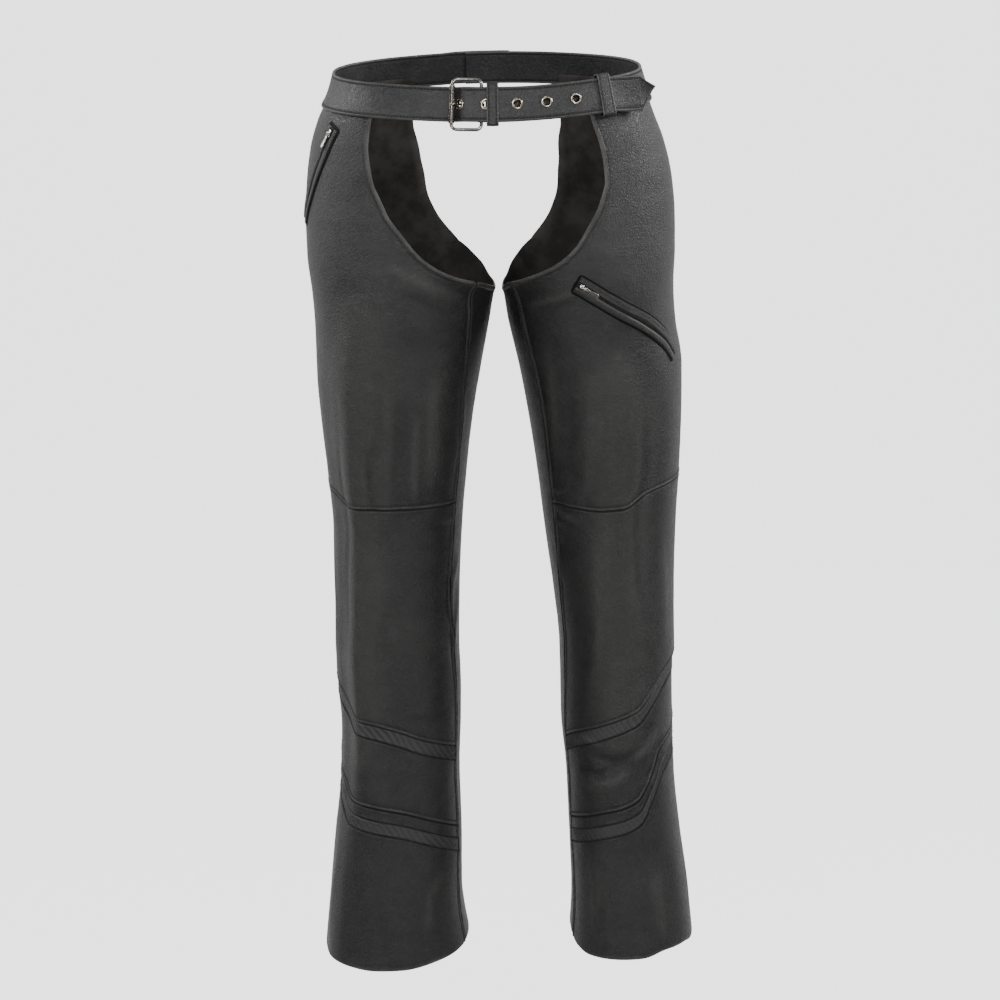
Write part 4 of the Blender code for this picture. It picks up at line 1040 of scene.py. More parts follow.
@dataclass(frozen=True)
class LegForm:
    """The surface of one leg: a rounded section about a centre line, with its folds."""

    leg: Leg
    unevenness: float = 0.32

    def surface(self, angle: Array, height: Array) -> Array:
        """Points of the smooth leg: |x/w|^p + |y/d|^p = 1 about the section's centre."""
        angle, height = np.broadcast_arrays(np.asarray(angle, float), np.asarray(height, float))
        outer_column, inner_column = (1, 2) if self.leg is Leg.RIGHT else (4, 3)
        knots = column(LEG_ROWS, 0)
        outer, inner, front, back = (
            smooth_through(knots, column(LEG_ROWS, k), height / MM) * MM
            for k in (outer_column, inner_column, 5, 6))
        turn = np.radians(angle)
        half_width, half_depth = np.abs(outer - inner) / 2, (back - front) / 2
        reach = (np.abs(np.cos(turn) / half_width) ** SECTION_POWER
                 + np.abs(np.sin(turn) / half_depth) ** SECTION_POWER) ** (-1 / SECTION_POWER)
        x = (outer + inner) / 2 - self.leg.side * reach * np.cos(turn)
        y = (front + back) / 2 - reach * np.sin(turn)
        return stack(x, y, height)

    def steps(self, angle: Array, height: Array) -> Pair:
        """How a point moves per degree and per metre of height."""
        small = 0.4
        per_degree = self.surface(angle + small, height) - self.surface(angle - small, height)
        per_metre = self.surface(angle, height + MM) - self.surface(angle, height - MM)
        return per_degree / (2 * small), per_metre / (2 * MM)

    def normal(self, angle: Array, height: Array) -> Array:
        """Outward unit normals."""
        per_degree, per_metre = self.steps(np.asarray(angle, float), np.asarray(height, float))
        return unit(np.cross(per_degree, per_metre) * self.leg.side)

    def form_folds(self, angle: Array, height: Array) -> Array:
        """Lift in metres of the large folds."""
        lift = np.zeros(np.broadcast(angle, height).shape)
        for angle_a, height_a, angle_b, height_b, rise, half_width in FORM_FOLDS[self.leg]:
            fold = Fold(((angle_a, height_a), (angle_b, height_b)), rise, half_width)
            lift += fold.lift(angle, height / MM, MM_PER_DEGREE)
        return lift * MM

    def creases(self, angle: Array, height: Array) -> Array:
        """Lift in metres of the fine creases and of the hide's unevenness."""
        seed = 11 if self.leg is Leg.RIGHT else 23
        across, up = angle * MM_PER_DEGREE, height / MM
        wander = 5.0 * soft_noise(across, up, 60.0, seed + 5)
        lift = self.unevenness * soft_noise(across, up * 0.55, 34.0, seed)
        lift = lift + 0.35 * self.unevenness * soft_noise(across, up, 13.0, seed + 1)
        for path, rise, half_width in CREASES[self.leg]:
            fold = Fold(path, rise, half_width, 2.0)
            lift = lift + fold.lift(angle + wander / MM_PER_DEGREE, up, MM_PER_DEGREE)
        for path, rise, reach in PRESSED[self.leg]:
            fold = Fold(path, rise, reach, 6.0, crisp=True)
            lift = lift + fold.lift(angle + 0.2 * wander / MM_PER_DEGREE, up, MM_PER_DEGREE)
        return lift * MM

    def place(self, angle: Array, height: Array, lift: Array | float = 0.0,
              fine: bool = True) -> Array:
        """Points at a lift off the folded leg, square to the smooth leg."""
        total = self.form_folds(angle, height) + lift
        if fine:
            total = total + self.creases(angle, height)
        return self.surface(angle, height) + self.normal(angle, height) * total[..., None]

    def shifted(self, places: Array, shift: float, uphill: bool = True) -> Array:
        """Places moved sideways off a line on the leg.

        Args:
            places: Angles and heights along the line.
            shift: How far, in metres.
            uphill: Whether a positive shift goes up, or else to the line's left.

        Returns:
            The moved places.
        """
        angle, height = places[:, 0], places[:, 1]
        per_degree, per_metre = self.steps(angle, height)
        along = np.gradient(self.surface(angle, height), axis=0)
        sideways = unit(np.cross(self.normal(angle, height), along))
        if uphill:
            sideways = sideways * np.where(sideways[:, 2:] < 0.0, -1.0, 1.0)
        wanted = sideways * shift
        aa, ab = np.sum(per_degree**2, -1), np.sum(per_degree * per_metre, -1)
        bb = np.sum(per_metre**2, -1)
        a, b = np.sum(per_degree * wanted, -1), np.sum(per_metre * wanted, -1)
        scale = aa * bb - ab**2
        return places + stack((a * bb - b * ab) / scale, (b * aa - a * ab) / scale)


def belt_height(turn: Array) -> Array:
    """Height of the belt's mid line: 3.4 - 9.2 cos(turn) less a dip near the buckle, in mm."""
    return (3.4 - 9.2 * np.cos(np.radians(turn)) - 2.0 * bump(turn, 15.0, 35.0)) * MM


# Where the inseam runs: height in mm, angle on the right leg, angle on the left leg
INSEAM_ROWS = (
    (-203, 52, 43), (-260, 47, 45), (-340, 43, 45), (-420, 39, 42), (-500, 38, 40),
    (-575, 39, 36), (-640, 30, 33), (-750, 29, 28), (-865, 24, 23), (-1000, 22, 22),
)
# Edge of the open front, from the crotch up to the belt: angle, height in mm
FRONT_EDGE = {
    Leg.RIGHT: ((52, -203), (69, -193), (89, -174), (110, -144), (125, -118), (136, -86),
                (140.5, -55), (142, -13)),
    Leg.LEFT: ((43, -207), (57, -200), (79, -184), (98, -163), (114, -138), (125, -118),
               (134, -92), (138, -60), (137.5, -13)),
}
SEAT_EDGE = ((385, -215), (360, -221), (335, -219), (310, -205), (290, -186), (267, -152),
             (251, -118), (241, -83), (235, -48), (233, -6))
SEAT_TURN = 4
SEAT_ROW = ((265, -200), (240, -206))
# Seams across the front of each leg: angle, height in mm
KNEE_LINE = {
    Leg.RIGHT: ((20, -459), (90, -459), (123, -457), (151, -445), (200, -436)),
    Leg.LEFT: ((20, -460), (59, -463), (81, -466), (99, -462), (118, -447), (149, -440),
               (200, -437)),
}
UPPER_BAND_LINE = {
    Leg.RIGHT: ((20, -763), (52, -748), (72, -738), (89, -728), (108, -720), (126, -714),
                (138, -700), (152, -686), (175, -668), (200, -652)),
    Leg.LEFT: ((20, -755), (50, -738), (75, -726), (95, -715), (106, -708), (118, -689),
               (137, -665), (154, -655), (175, -647), (200, -640)),
}
LOWER_BAND_LINE = {
    Leg.RIGHT: ((20, -876), (45, -862), (63, -852), (88, -840), (123, -832), (135, -829),
                (150, -812), (175, -790), (200, -772)),
    Leg.LEFT: ((20, -867), (45, -858), (70, -848), (91, -840), (103, -831), (116, -802),
               (129, -773), (157, -757), (200, -740)),
}
HEM_LINE = {
    Leg.RIGHT: ((10, -998), (32, -1003), (55, -1009), (87, -1017), (119, -1018), (145, -1013),
                (166, -1008), (200, -1002), (270, -999), (330, -994), (370, -998), (400, -1004)),
    Leg.LEFT: ((9, -993), (37, -1004), (53, -1009), (79, -1010), (97, -1009), (118, -1001),
               (139, -1000), (151, -1002), (200, -1002), (270, -1000), (330, -994), (369, -993),
               (400, -1005)),
}


@dataclass(frozen=True)
class PanelCut:
    """One panel: how its edges are finished and the flat size it is cut to, in metres."""

    bottom: Edge
    top: Edge
    inner: Edge
    outer: Edge
    width: float
    length: float
    area: float


SEWN, TOP, CUT, TUCKED = Edge.SEWN, Edge.TOPSTITCHED, Edge.CUT, Edge.TUCKED
# The front's panels from the hem up
PANELS = {
    "cuff": PanelCut(CUT, SEWN, TOP, SEWN, 0.29, 0.23, 0.0425),
    "lower_band": PanelCut(SEWN, SEWN, SEWN, SEWN, 0.30, 0.013, 0.0037),
    "strip": PanelCut(SEWN, SEWN, TOP, SEWN, 0.30, 0.013, 0.0037),
    "calf": PanelCut(TOP, SEWN, TOP, SEWN, 0.29, 0.085, 0.0192),
    "upper_band": PanelCut(SEWN, SEWN, SEWN, SEWN, 0.29, 0.014, 0.0039),
    "shin": PanelCut(TOP, SEWN, TOP, SEWN, 0.28, 0.32, 0.058),
    "thigh": PanelCut(TOP, TUCKED, TOP, SEWN, 0.27, 0.47, 0.114),
}
BACK_CUT = PanelCut(CUT, TUCKED, SEWN, TOP, 0.34, 1.01, 0.260)


# How far from a sewn and from a turned edge its stitches lie, in mm
STITCHED_AT = 5.0
TURNED_AT = 6.2
# Rolls and grooves beside an edge: height mm, distance from the edge mm, half width mm
RELIEF = {
    Edge.SEWN: ((-1.4, 0.0, 1.1), (0.25, 2.4, 1.2)),
    Edge.TOPSTITCHED: ((-1.5, 0.0, 1.1), (0.6, 2.7, 1.5), (-0.5, STITCHED_AT, 0.9)),
    Edge.TURNED: ((-0.8, 0.0, 0.9), (0.6, 2.8, 1.8), (-0.5, TURNED_AT, 0.9)),
    Edge.CUT: ((-0.25, 0.0, 0.6),),
    Edge.TUCKED: (),
}


@dataclass(frozen=True)
class EdgeRelief:
    """How the leather lies beside an edge; in metres."""

    pucker: float = 0.20 * MM
    pucker_length: float = 6.5 * MM
    swell: float = 0.35 * MM

    def lift(self, kind: Edge, distance: Array, along: Array, seed: int) -> Array:
        """Height of the leather at a distance from an edge.

        The sum of the bells h exp(-((d - a) / b)^2) of the kind's table: a roll at the
        edge, a swell behind it and a groove under the stitches. At a seam come puckers
        p sin(2 pi s / l + noise) and slow waves that fade away from the edge.

        Args:
            kind: How the edge is finished.
            distance: Distance from the edge.
            along: Length along the edge.
            seed: Which noise.

        Returns:
            Heights.
        """
        d = distance / MM
        rolls = np.zeros_like(d)
        for height, centre, half_width in RELIEF[kind]:
            rolls = rolls + height * bump(d, centre, half_width)
        if kind in (Edge.CUT, Edge.TUCKED):
            return rolls * MM
        wave = 2 * math.pi * along / self.pucker_length
        wave = wave + 3.0 * soft_noise(along / MM, np.zeros_like(along), 9.0, seed)
        lift = self.pucker * np.sin(wave) * bump(d, 0.0, 8.0) * (1 - bump(d, 0.0, 1.5))
        lift += self.swell * soft_noise(along / MM, d, 16.0, seed + 3) * bump(d, 0.0, 12.0)
        return lift + rolls * MM


def read_edge(points: Array, line: Array) -> Pair:
    """Distance from each point to a line, and how far along the line it is nearest.

    The nearest corner of the line is found first, and then the nearest point of the two
    pieces that meet there.

    Args:
        points: Points, in any grid.
        line: The line's corners.

    Returns:
        Distances and lengths along the line, shaped as the points.
    """
    flat = points.reshape(-1, 3)
    run = run_along(line)
    nearest = np.argmin(np.sum(line**2, -1)[None] - 2 * flat @ line.T, axis=1)
    best = np.full(len(flat), 1e9)
    along = np.zeros(len(flat))
    for shift in (-1, 0):
        k = np.clip(nearest + shift, 0, len(line) - 2)
        a, ab = line[k], line[k + 1] - line[k]
        length = np.maximum(np.sum(ab * ab, -1), 1e-18)
        share = np.clip(np.sum((flat - a) * ab, -1) / length, 0.0, 1.0)
        off = np.linalg.norm(flat - a - ab * share[:, None], axis=1)
        closer = off < best
        best = np.where(closer, off, best)
        along = np.where(closer, run[k] + share * np.sqrt(length), along)
    return best.reshape(points.shape[:-1]), along.reshape(points.shape[:-1])


def patch(bottom: Array, top: Array, first: Array, last: Array, across: Array,
          up: Array) -> Array:
    """Fill a four-sided patch: the sides are blended and both ends' bends are added.

    Args:
        bottom: Places along its first row.
        top: Places along its last row.
        first: Places down its first column.
        last: Places down its last column.
        across: Share of each column.
        up: Share of each row.

    Returns:
        A grid of places.
    """
    across, up = across[None, :, None], up[:, None, None]
    sides = (1 - across) * first[:, None] + across * last[:, None]
    bottom_bend = bottom - ((1 - across[0]) * bottom[0] + across[0] * bottom[-1])
    top_bend = top - ((1 - across[0]) * top[0] + across[0] * top[-1])
    return sides + (1 - up) * bottom_bend[None] + up * top_bend[None]


def places_along(places: Array, shares: Array) -> Array:
    """Read a run of places (degrees, metres) at shares of its length."""
    scale = np.array([MM_PER_DEGREE * MM, 1.0])
    run = run_along(places * scale)
    smooth = smooth_at(np.linspace(0.0, run[-1], 600), run, places)
    fine_run = run_along(smooth * scale)
    return read_at(shares * fine_run[-1], fine_run, smooth)


def in_metres(rows: Rows) -> Array:
    """Table rows of angle and height in mm as degrees and metres."""
    return np.asarray(rows, float) * np.array([1.0, MM])


# Distances in mm from a panel's edge that get a row of points of their own
EDGE_STOPS = (0.35, 0.8, 1.4, 2.1, 2.9, 3.8, 4.6, 5.4, 6.2, 7.2)
# Lengths in mm that set how many rows and columns each grid gets
SPANS = {"front": 310.0, "thigh": 320.0, "inseam": 250.0, "opening": 260.0, "seat": 185.0,
         "crotch_row": 120.0, "back": 790.0, "rise": 230.0}
# Share of the thigh's rows that lie below the crotch, and of the back's columns before its turn
LOW_ROWS = 8 / 19
SEAT_COLUMNS = 7 / 12


@dataclass
class LegPanels:
    """The panels of one leg, cut from its form along the seam lines.

    Walls, offsets and the crotch are in metres, the outer seam in degrees; the heights of
    the bands and the steps of the grids are in mm, as the tables of seam lines are.
    """

    leg: Leg
    wall: float = 2.0 * MM
    band_wall: float = 1.2 * MM
    band_recess: float = 0.5 * MM
    seam_lap: float = 0.12 * MM
    sink: float = 0.35 * MM
    outer_seam: float = 200.0
    crotch: float = -200.0 * MM
    tuck: float = 12.0 * MM
    upper_band_height: float = 17.0
    lower_band_height: float = 15.5
    strip_height: float = 15.0
    front_step: float = 3.0
    back_step: float = 4.0
    relief: EdgeRelief = EdgeRelief()

    def __post_init__(self) -> None:
        """Make the form and start the leg's sewing."""
        self.form = LegForm(self.leg)
        self.sewing = Sewing(f"{self.leg.value}_stitching")
        self.count = 0

    def inseam(self, height: Array) -> Array:
        """Angle of the inseam at a height."""
        index = 1 if self.leg is Leg.RIGHT else 2
        return smooth_through(column(INSEAM_ROWS, 0), column(INSEAM_ROWS, index), height / MM)

    def top_height(self, angle: Array) -> Array:
        """Height of a panel's top, tucked up behind the belt."""
        turn = self.leg.side * (angle - 90.0)
        return belt_height(turn) - STRAP_HALF_HEIGHT + self.tuck

    def cross_lines(self) -> list[Callable[[Array], Array]]:
        """Cross seams of the front from the hem up to the knee, height for angle."""
        upper, lower = UPPER_BAND_LINE[self.leg], LOWER_BAND_LINE[self.leg]

        def line(rows: Rows, shift: float = 0.0) -> Callable[[Array], Array]:
            return lambda angle: (smooth_through(column(rows, 0), column(rows, 1), angle)
                                  + shift) * MM

        return [line(HEM_LINE[self.leg]), line(lower, -self.lower_band_height), line(lower),
                line(lower, self.strip_height), line(upper, -self.upper_band_height),
                line(upper), line(KNEE_LINE[self.leg])]

    def across(self, line: Callable[[Array], Array], shares: Array) -> Array:
        """Places of a cross seam at shares of the way from inseam to outer seam."""
        start = np.asarray(30.0)
        for _ in range(8):
            start = self.inseam(line(start))
        angles = start + shares * (self.outer_seam - start)
        return stack(angles, line(angles))

    def front_grids(self) -> dict[str, Array]:
        """Grids of places of the front panels below the knee."""
        shares = graded_stops(SPANS["front"], self.front_step, EDGE_STOPS)
        lines = [self.across(line, shares) for line in self.cross_lines()]
        grids = {}
        for name, low, high in zip(PANELS, lines[:-1], lines[1:]):
            length = float(np.median(high[:, 1] - low[:, 1])) / MM
            ends = [stop for stop in EDGE_STOPS if stop < length / 2 - 0.7]
            step = self.front_step if length > 30 else 1.4
            up = graded_stops(length, step, ends)[:, None]
            heights = (1 - up) * low[None, :, 1] + up * high[None, :, 1]
            start = self.inseam(heights[:, :1])
            angles = start + shares[None] * (self.outer_seam - start)
            grids[name] = stack(angles, heights)
        return grids

    def thigh_grid(self) -> tuple[Array, int]:
        """Grid of places of the thigh, and its row at the crotch."""
        shares = graded_stops(SPANS["thigh"], self.front_step, EDGE_STOPS)
        knee = self.across(self.cross_lines()[-1], shares)
        edge = in_metres(FRONT_EDGE[self.leg])
        edge[-1, 1] = self.top_height(edge[-1, 0])
        span = SPANS["inseam"]
        low = graded_stops(span, self.front_step, EDGE_STOPS)
        low = low[low < 1.0 - 9.0 / span]
        low = np.concatenate([low, [1.0 - 6.0 / span, 1.0 - 3.0 / span, 1.0]])
        high = graded_stops(SPANS["opening"], self.front_step)
        heights = knee[0, 1] + low * (edge[0, 1] - knee[0, 1])
        inseam = stack(self.inseam(heights), heights)
        inseam[-1] = edge[0]
        first = np.concatenate([inseam, places_along(edge, high)[1:]])
        angles = edge[-1, 0] + shares * (self.outer_seam - edge[-1, 0])
        top = stack(angles, self.top_height(angles))
        last_low = knee[-1, 1] + low * (self.crotch - knee[-1, 1])
        last_high = self.crotch + high * (top[-1, 1] - self.crotch)
        last_heights = np.concatenate([last_low, last_high[1:]])
        last = stack(self.outer_seam, last_heights)
        up = np.concatenate([low * LOW_ROWS, LOW_ROWS + high[1:] * (1 - LOW_ROWS)])
        return patch(knee, top, first, last, shares, up), len(low) - 1

    def back_grids(self) -> tuple[Array, Array, int]:
        """Two grids of places of the back, and the first one's column at the seat's turn."""
        span = SPANS["seat"]
        seat = graded_stops(span, self.back_step, EDGE_STOPS)
        seat = np.concatenate([seat[seat < 1.0 - 9.0 / span], [1.0 - 5.0 / span, 1.0]])
        row = graded_stops(SPANS["crotch_row"], self.back_step, EDGE_STOPS)
        row = row[(row > 9.0 / SPANS["crotch_row"]) | (row == 0.0)]
        across = np.concatenate([seat * SEAT_COLUMNS, SEAT_COLUMNS + row[1:] * (1 - SEAT_COLUMNS)])
        up = graded_stops(SPANS["back"], self.back_step, EDGE_STOPS)
        hem_line = self.cross_lines()[0]
        hem_start = float(self.across(hem_line, np.array([0.0]))[0, 0]) + FULL_TURN
        hem_angles = hem_start + across * (self.outer_seam - hem_start)
        hem = stack(hem_angles, hem_line(hem_angles))
        edge = in_metres(SEAT_EDGE)
        edge[-1, 1] = self.top_height(edge[-1, 0])
        crotch = in_metres(FRONT_EDGE[self.leg])[0]
        heights = hem[0, 1] + up * (crotch[1] - hem[0, 1])
        first = stack(self.inseam(heights) + FULL_TURN, heights)
        first[-1] = crotch + np.array([FULL_TURN, 0.0])
        heights = hem[-1, 1] + up * (self.crotch - hem[-1, 1])
        last = stack(self.outer_seam, heights)
        turn = edge[SEAT_TURN:SEAT_TURN + 1]
        low = places_along(np.concatenate([first[-1:], edge[:SEAT_TURN], turn]), seat)
        inner_row = places_along(np.concatenate([turn, in_metres(SEAT_ROW), last[-1:]]), row)
        lower = patch(hem, np.concatenate([low[:-1], inner_row]), first, last, across, up)
        high = graded_stops(SPANS["rise"], self.back_step)
        rise = places_along(edge[SEAT_TURN:], high)
        angles = edge[-1, 0] + row * (self.outer_seam - edge[-1, 0])
        top = stack(angles, self.top_height(angles))
        heights = self.crotch + high * (top[-1, 1] - self.crotch)
        side = stack(self.outer_seam, heights)
        upper = patch(inner_row, top, rise, side, row, high)
        return lower, upper, len(seat) - 1

    def let_out(self, grid: Array, sides: Sequence[str]) -> Array:
        """Let a grid out at its named sides by the seam's lap, fading within 2 mm."""
        grid = grid.copy()
        for side in sides:
            view = grid.transpose(1, 0, 2) if side in ("first", "last") else grid
            view = view[::-1] if side in ("top", "last") else view
            inward = unit(view[min(4, len(view) - 1)] - view[0])
            distance = np.linalg.norm(view - view[0], axis=-1, keepdims=True)
            view -= inward * self.seam_lap * np.exp(-distance / (2 * MM))
        return grid

    def dress_edges(self, points: Array, edges: Sequence[tuple[Edge, Array]]
                    ) -> tuple[Array, dict[str, Array]]:
        """Relief of a panel, with wear and painted sheen on its edges and painted shade in its
        seams.

        Args:
            points: The smooth panel's points.
            edges: How each edge is finished, and its line.

        Returns:
            Lift in metres, and masks that are 1 on worn and sheened edges and in the painted shade
            of seams.
        """
        lift = np.zeros(points.shape[:-1])
        wear_and_sheen = np.zeros(points.shape[:-1])
        seam = np.zeros(points.shape[:-1])
        for kind, line in edges:
            self.count += 1
            distance, along = read_edge(points, line)
            lift += self.relief.lift(kind, distance, along, 40 + self.count)
            d = distance / MM
            # Cut and turned edges wear lighter and a topstitched roll's crest gets a painted
            # highlight; seams and stitch lines get painted shade
            if kind in (Edge.TURNED, Edge.CUT):
                wear_and_sheen = np.maximum(wear_and_sheen, bump(d, 0.0, 2.6))
            if kind in (Edge.SEWN, Edge.TOPSTITCHED):
                seam = np.maximum(seam, bump(d, 0.0, 1.1))
            if kind is Edge.TOPSTITCHED:
                wear_and_sheen = np.maximum(wear_and_sheen, 0.55 * bump(d, 2.7, 1.2))
                seam = np.maximum(seam, 0.7 * bump(d, STITCHED_AT, 0.8))
        return lift, {"edge": wear_and_sheen, "seam": seam}

    def build_panel(self, name: str, places: Array, edges: Sequence[tuple[Edge, Array]],
                    finishes: Finishes, cut: PanelCut, keep: Array | None = None,
                    sides: Sequence[str] = ("bottom", "top", "first", "last")) -> None:
        """Build one panel as a closed wall with its relief.

        Args:
            name: The panel's name, without its leg.
            places: Its grid of places.
            edges: How each edge is finished, and its line.
            finishes: Every finish.
            cut: The flat piece; not used.
            keep: Which cells of the grid exist.
            sides: The sides that lap their neighbours.
        """
        band = name.endswith("band")
        thickness, recess = (self.band_wall, self.band_recess) if band else (self.wall, 0.0)
        wrinkle = self.wrinkles(places) if band else 0.0
        angle, height = places[..., 0], places[..., 1]
        lift, masks = self.dress_edges(self.smooth(places), edges)
        lift = np.maximum(lift, -0.6 * thickness)
        # Painted highlight on crease and wrinkle crests, and painted shade in the band's wrinkle
        # troughs
        masks["ridge"] = np.clip((self.form.creases(angle, height) + wrinkle) / (0.9 * MM), 0, 1)
        masks["seam"] = np.maximum(masks["seam"], np.clip(-wrinkle / (0.8 * MM), 0.0, 0.7))
        outer = self.form.place(angle, height, lift + wrinkle - recess)
        inner = self.form.place(angle, height, -recess - thickness)
        flat = stack(angle * MM_PER_DEGREE * MM, height)
        piece = make_wall(f"{self.leg.value}_{name}_panel", self.let_out(outer, sides),
                          self.let_out(inner, sides),
                          [finishes.band if band else finishes.hide, finishes.flesh],
                          flat, keep, masks=masks)
        fit(piece, f"{self.leg.value}_{name}")

    def smooth(self, places: Array) -> Array:
        """Points of the leg at some places, without its fine creases."""
        return self.form.place(places[..., 0], places[..., 1], 0.0, fine=False)

    def sew(self, line: Array, offset: float, uphill: bool = True) -> None:
        """Lay stitches beside a line of places."""
        moved = self.form.shifted(places_along(line, np.linspace(0, 1, 400)), offset, uphill)
        points = self.form.place(moved[:, 0], moved[:, 1], 0.0)
        self.sewing.add(points, self.form.normal(moved[:, 0], moved[:, 1]), self.sink)

    def wrinkles(self, places: Array) -> Array:
        """Slanting gathers of a band: a wave across its run, uneven in step and height."""
        across, up = places[..., 0] * MM_PER_DEGREE, places[..., 1] / MM
        run = across + 0.8 * self.leg.side * up
        wave = 2 * math.pi * run / 8.5 + 2.6 * soft_noise(across, up, 22.0, 71)
        height = 0.34 + 0.45 * soft_noise(across, up, 30.0, 72)
        return np.maximum(height, 0.0) * MM * np.sin(wave)

    def build_front(self, finishes: Finishes) -> None:
        """Build the panels from the hem up to the belt."""
        grids = self.front_grids()
        grids["thigh"], crotch_row = self.thigh_grid()
        beside = -self.leg.side
        for name, cut in PANELS.items():
            places = grids[name]
            smooth = self.smooth(places)
            sewn = crotch_row + 1 if name == "thigh" else len(places)
            edges = [(cut.bottom, smooth[0]), (cut.top, smooth[-1]), (cut.outer, smooth[:, -1]),
                     (cut.inner, smooth[:sewn, 0])]
            if name == "thigh":
                edges.append((Edge.TURNED, smooth[crotch_row:, 0]))
            self.build_panel(name, places, edges, finishes, cut)
            if cut.bottom is Edge.TOPSTITCHED:
                self.sew(places[0], STITCHED_AT * MM)
            if cut.inner is Edge.TOPSTITCHED:
                self.sew(places[:sewn, 0], STITCHED_AT * MM * beside, uphill=False)
            if name == "thigh":
                self.sew(places[crotch_row:, 0], TURNED_AT * MM * beside, uphill=False)

    def build_back(self, finishes: Finishes) -> None:
        """Build the back panel."""
        lower, upper, turn_column = self.back_grids()
        rows, columns = lower.shape[:2]
        places = np.zeros((rows + len(upper) - 1, columns, 2))
        places[:rows] = lower
        places[rows:, turn_column:] = upper[1:]
        places[rows:, :turn_column] = upper[1:, :1]
        keep = np.ones((len(places) - 1, columns - 1), bool)
        keep[rows - 1:, :turn_column] = False
        smooth = self.smooth(places)
        seat = np.concatenate([smooth[rows - 1, :turn_column], smooth[rows - 1:, turn_column]])
        edges = [(BACK_CUT.bottom, smooth[0]), (BACK_CUT.inner, smooth[:rows, 0]),
                 (Edge.TURNED, seat), (BACK_CUT.outer, smooth[:, -1]),
                 (BACK_CUT.top, smooth[-1, turn_column:])]
        self.build_panel("back", places, edges, finishes, BACK_CUT, keep, ("last",))
        self.sew(places[:, -1], STITCHED_AT * MM * self.leg.side, uphill=False)
        seat = np.concatenate([lower[-1, :turn_column], upper[:, 0]])
        self.sew(seat, TURNED_AT * MM * self.leg.side, uphill=False)

    def build(self, finishes: Finishes) -> None:
        """Build every panel of the leg and its stitching."""
        self.build_front(finishes)
        self.build_back(finishes)
        self.sewing.build(finishes.thread)


# --- Pockets -----------------------------------------------------------------------------


@dataclass(frozen=True)
class SliderSize:
    """Measures of a zip's slider and the eye of its pull tab, in mm."""

    half_length: float = 4.5
    half_width: float = 2.3
    waist_depth: float = 0.55
    waist_reach: float = 1.8
    lift: float = 2.45
    half_thick: float = 0.65
    blunt: float = 0.2
    end_round: float = 0.9
    bridge_half: float = 2.5
    bridge_foot: float = 2.5
    bridge_rise: float = 2.75
    bridge_wire: tuple[float, float] = (0.75, 0.36)
    tab_lift: float = 3.9
    eye_at: float = 2.2
    eye_half: tuple[float, float] = (2.3, 1.85)
    eye_wire: tuple[float, float] = (0.5, 0.42)


# Pull tab from its eye on: distance and half width, then distance and half thickness, in mm
TAB_WIDTH = ((4.0, 1.5), (4.6, 2.1), (6.5, 1.75), (14.0, 2.3), (17.5, 2.45), (18.4, 2.0),
             (19.0, 1.0))
TAB_THICKNESS = ((4.0, 0.30), (4.4, 0.42), (5.0, 0.42), (18.0, 0.42), (19.0, 0.18))
OUTWARD = np.array([0.0, 0.0, 1.0])


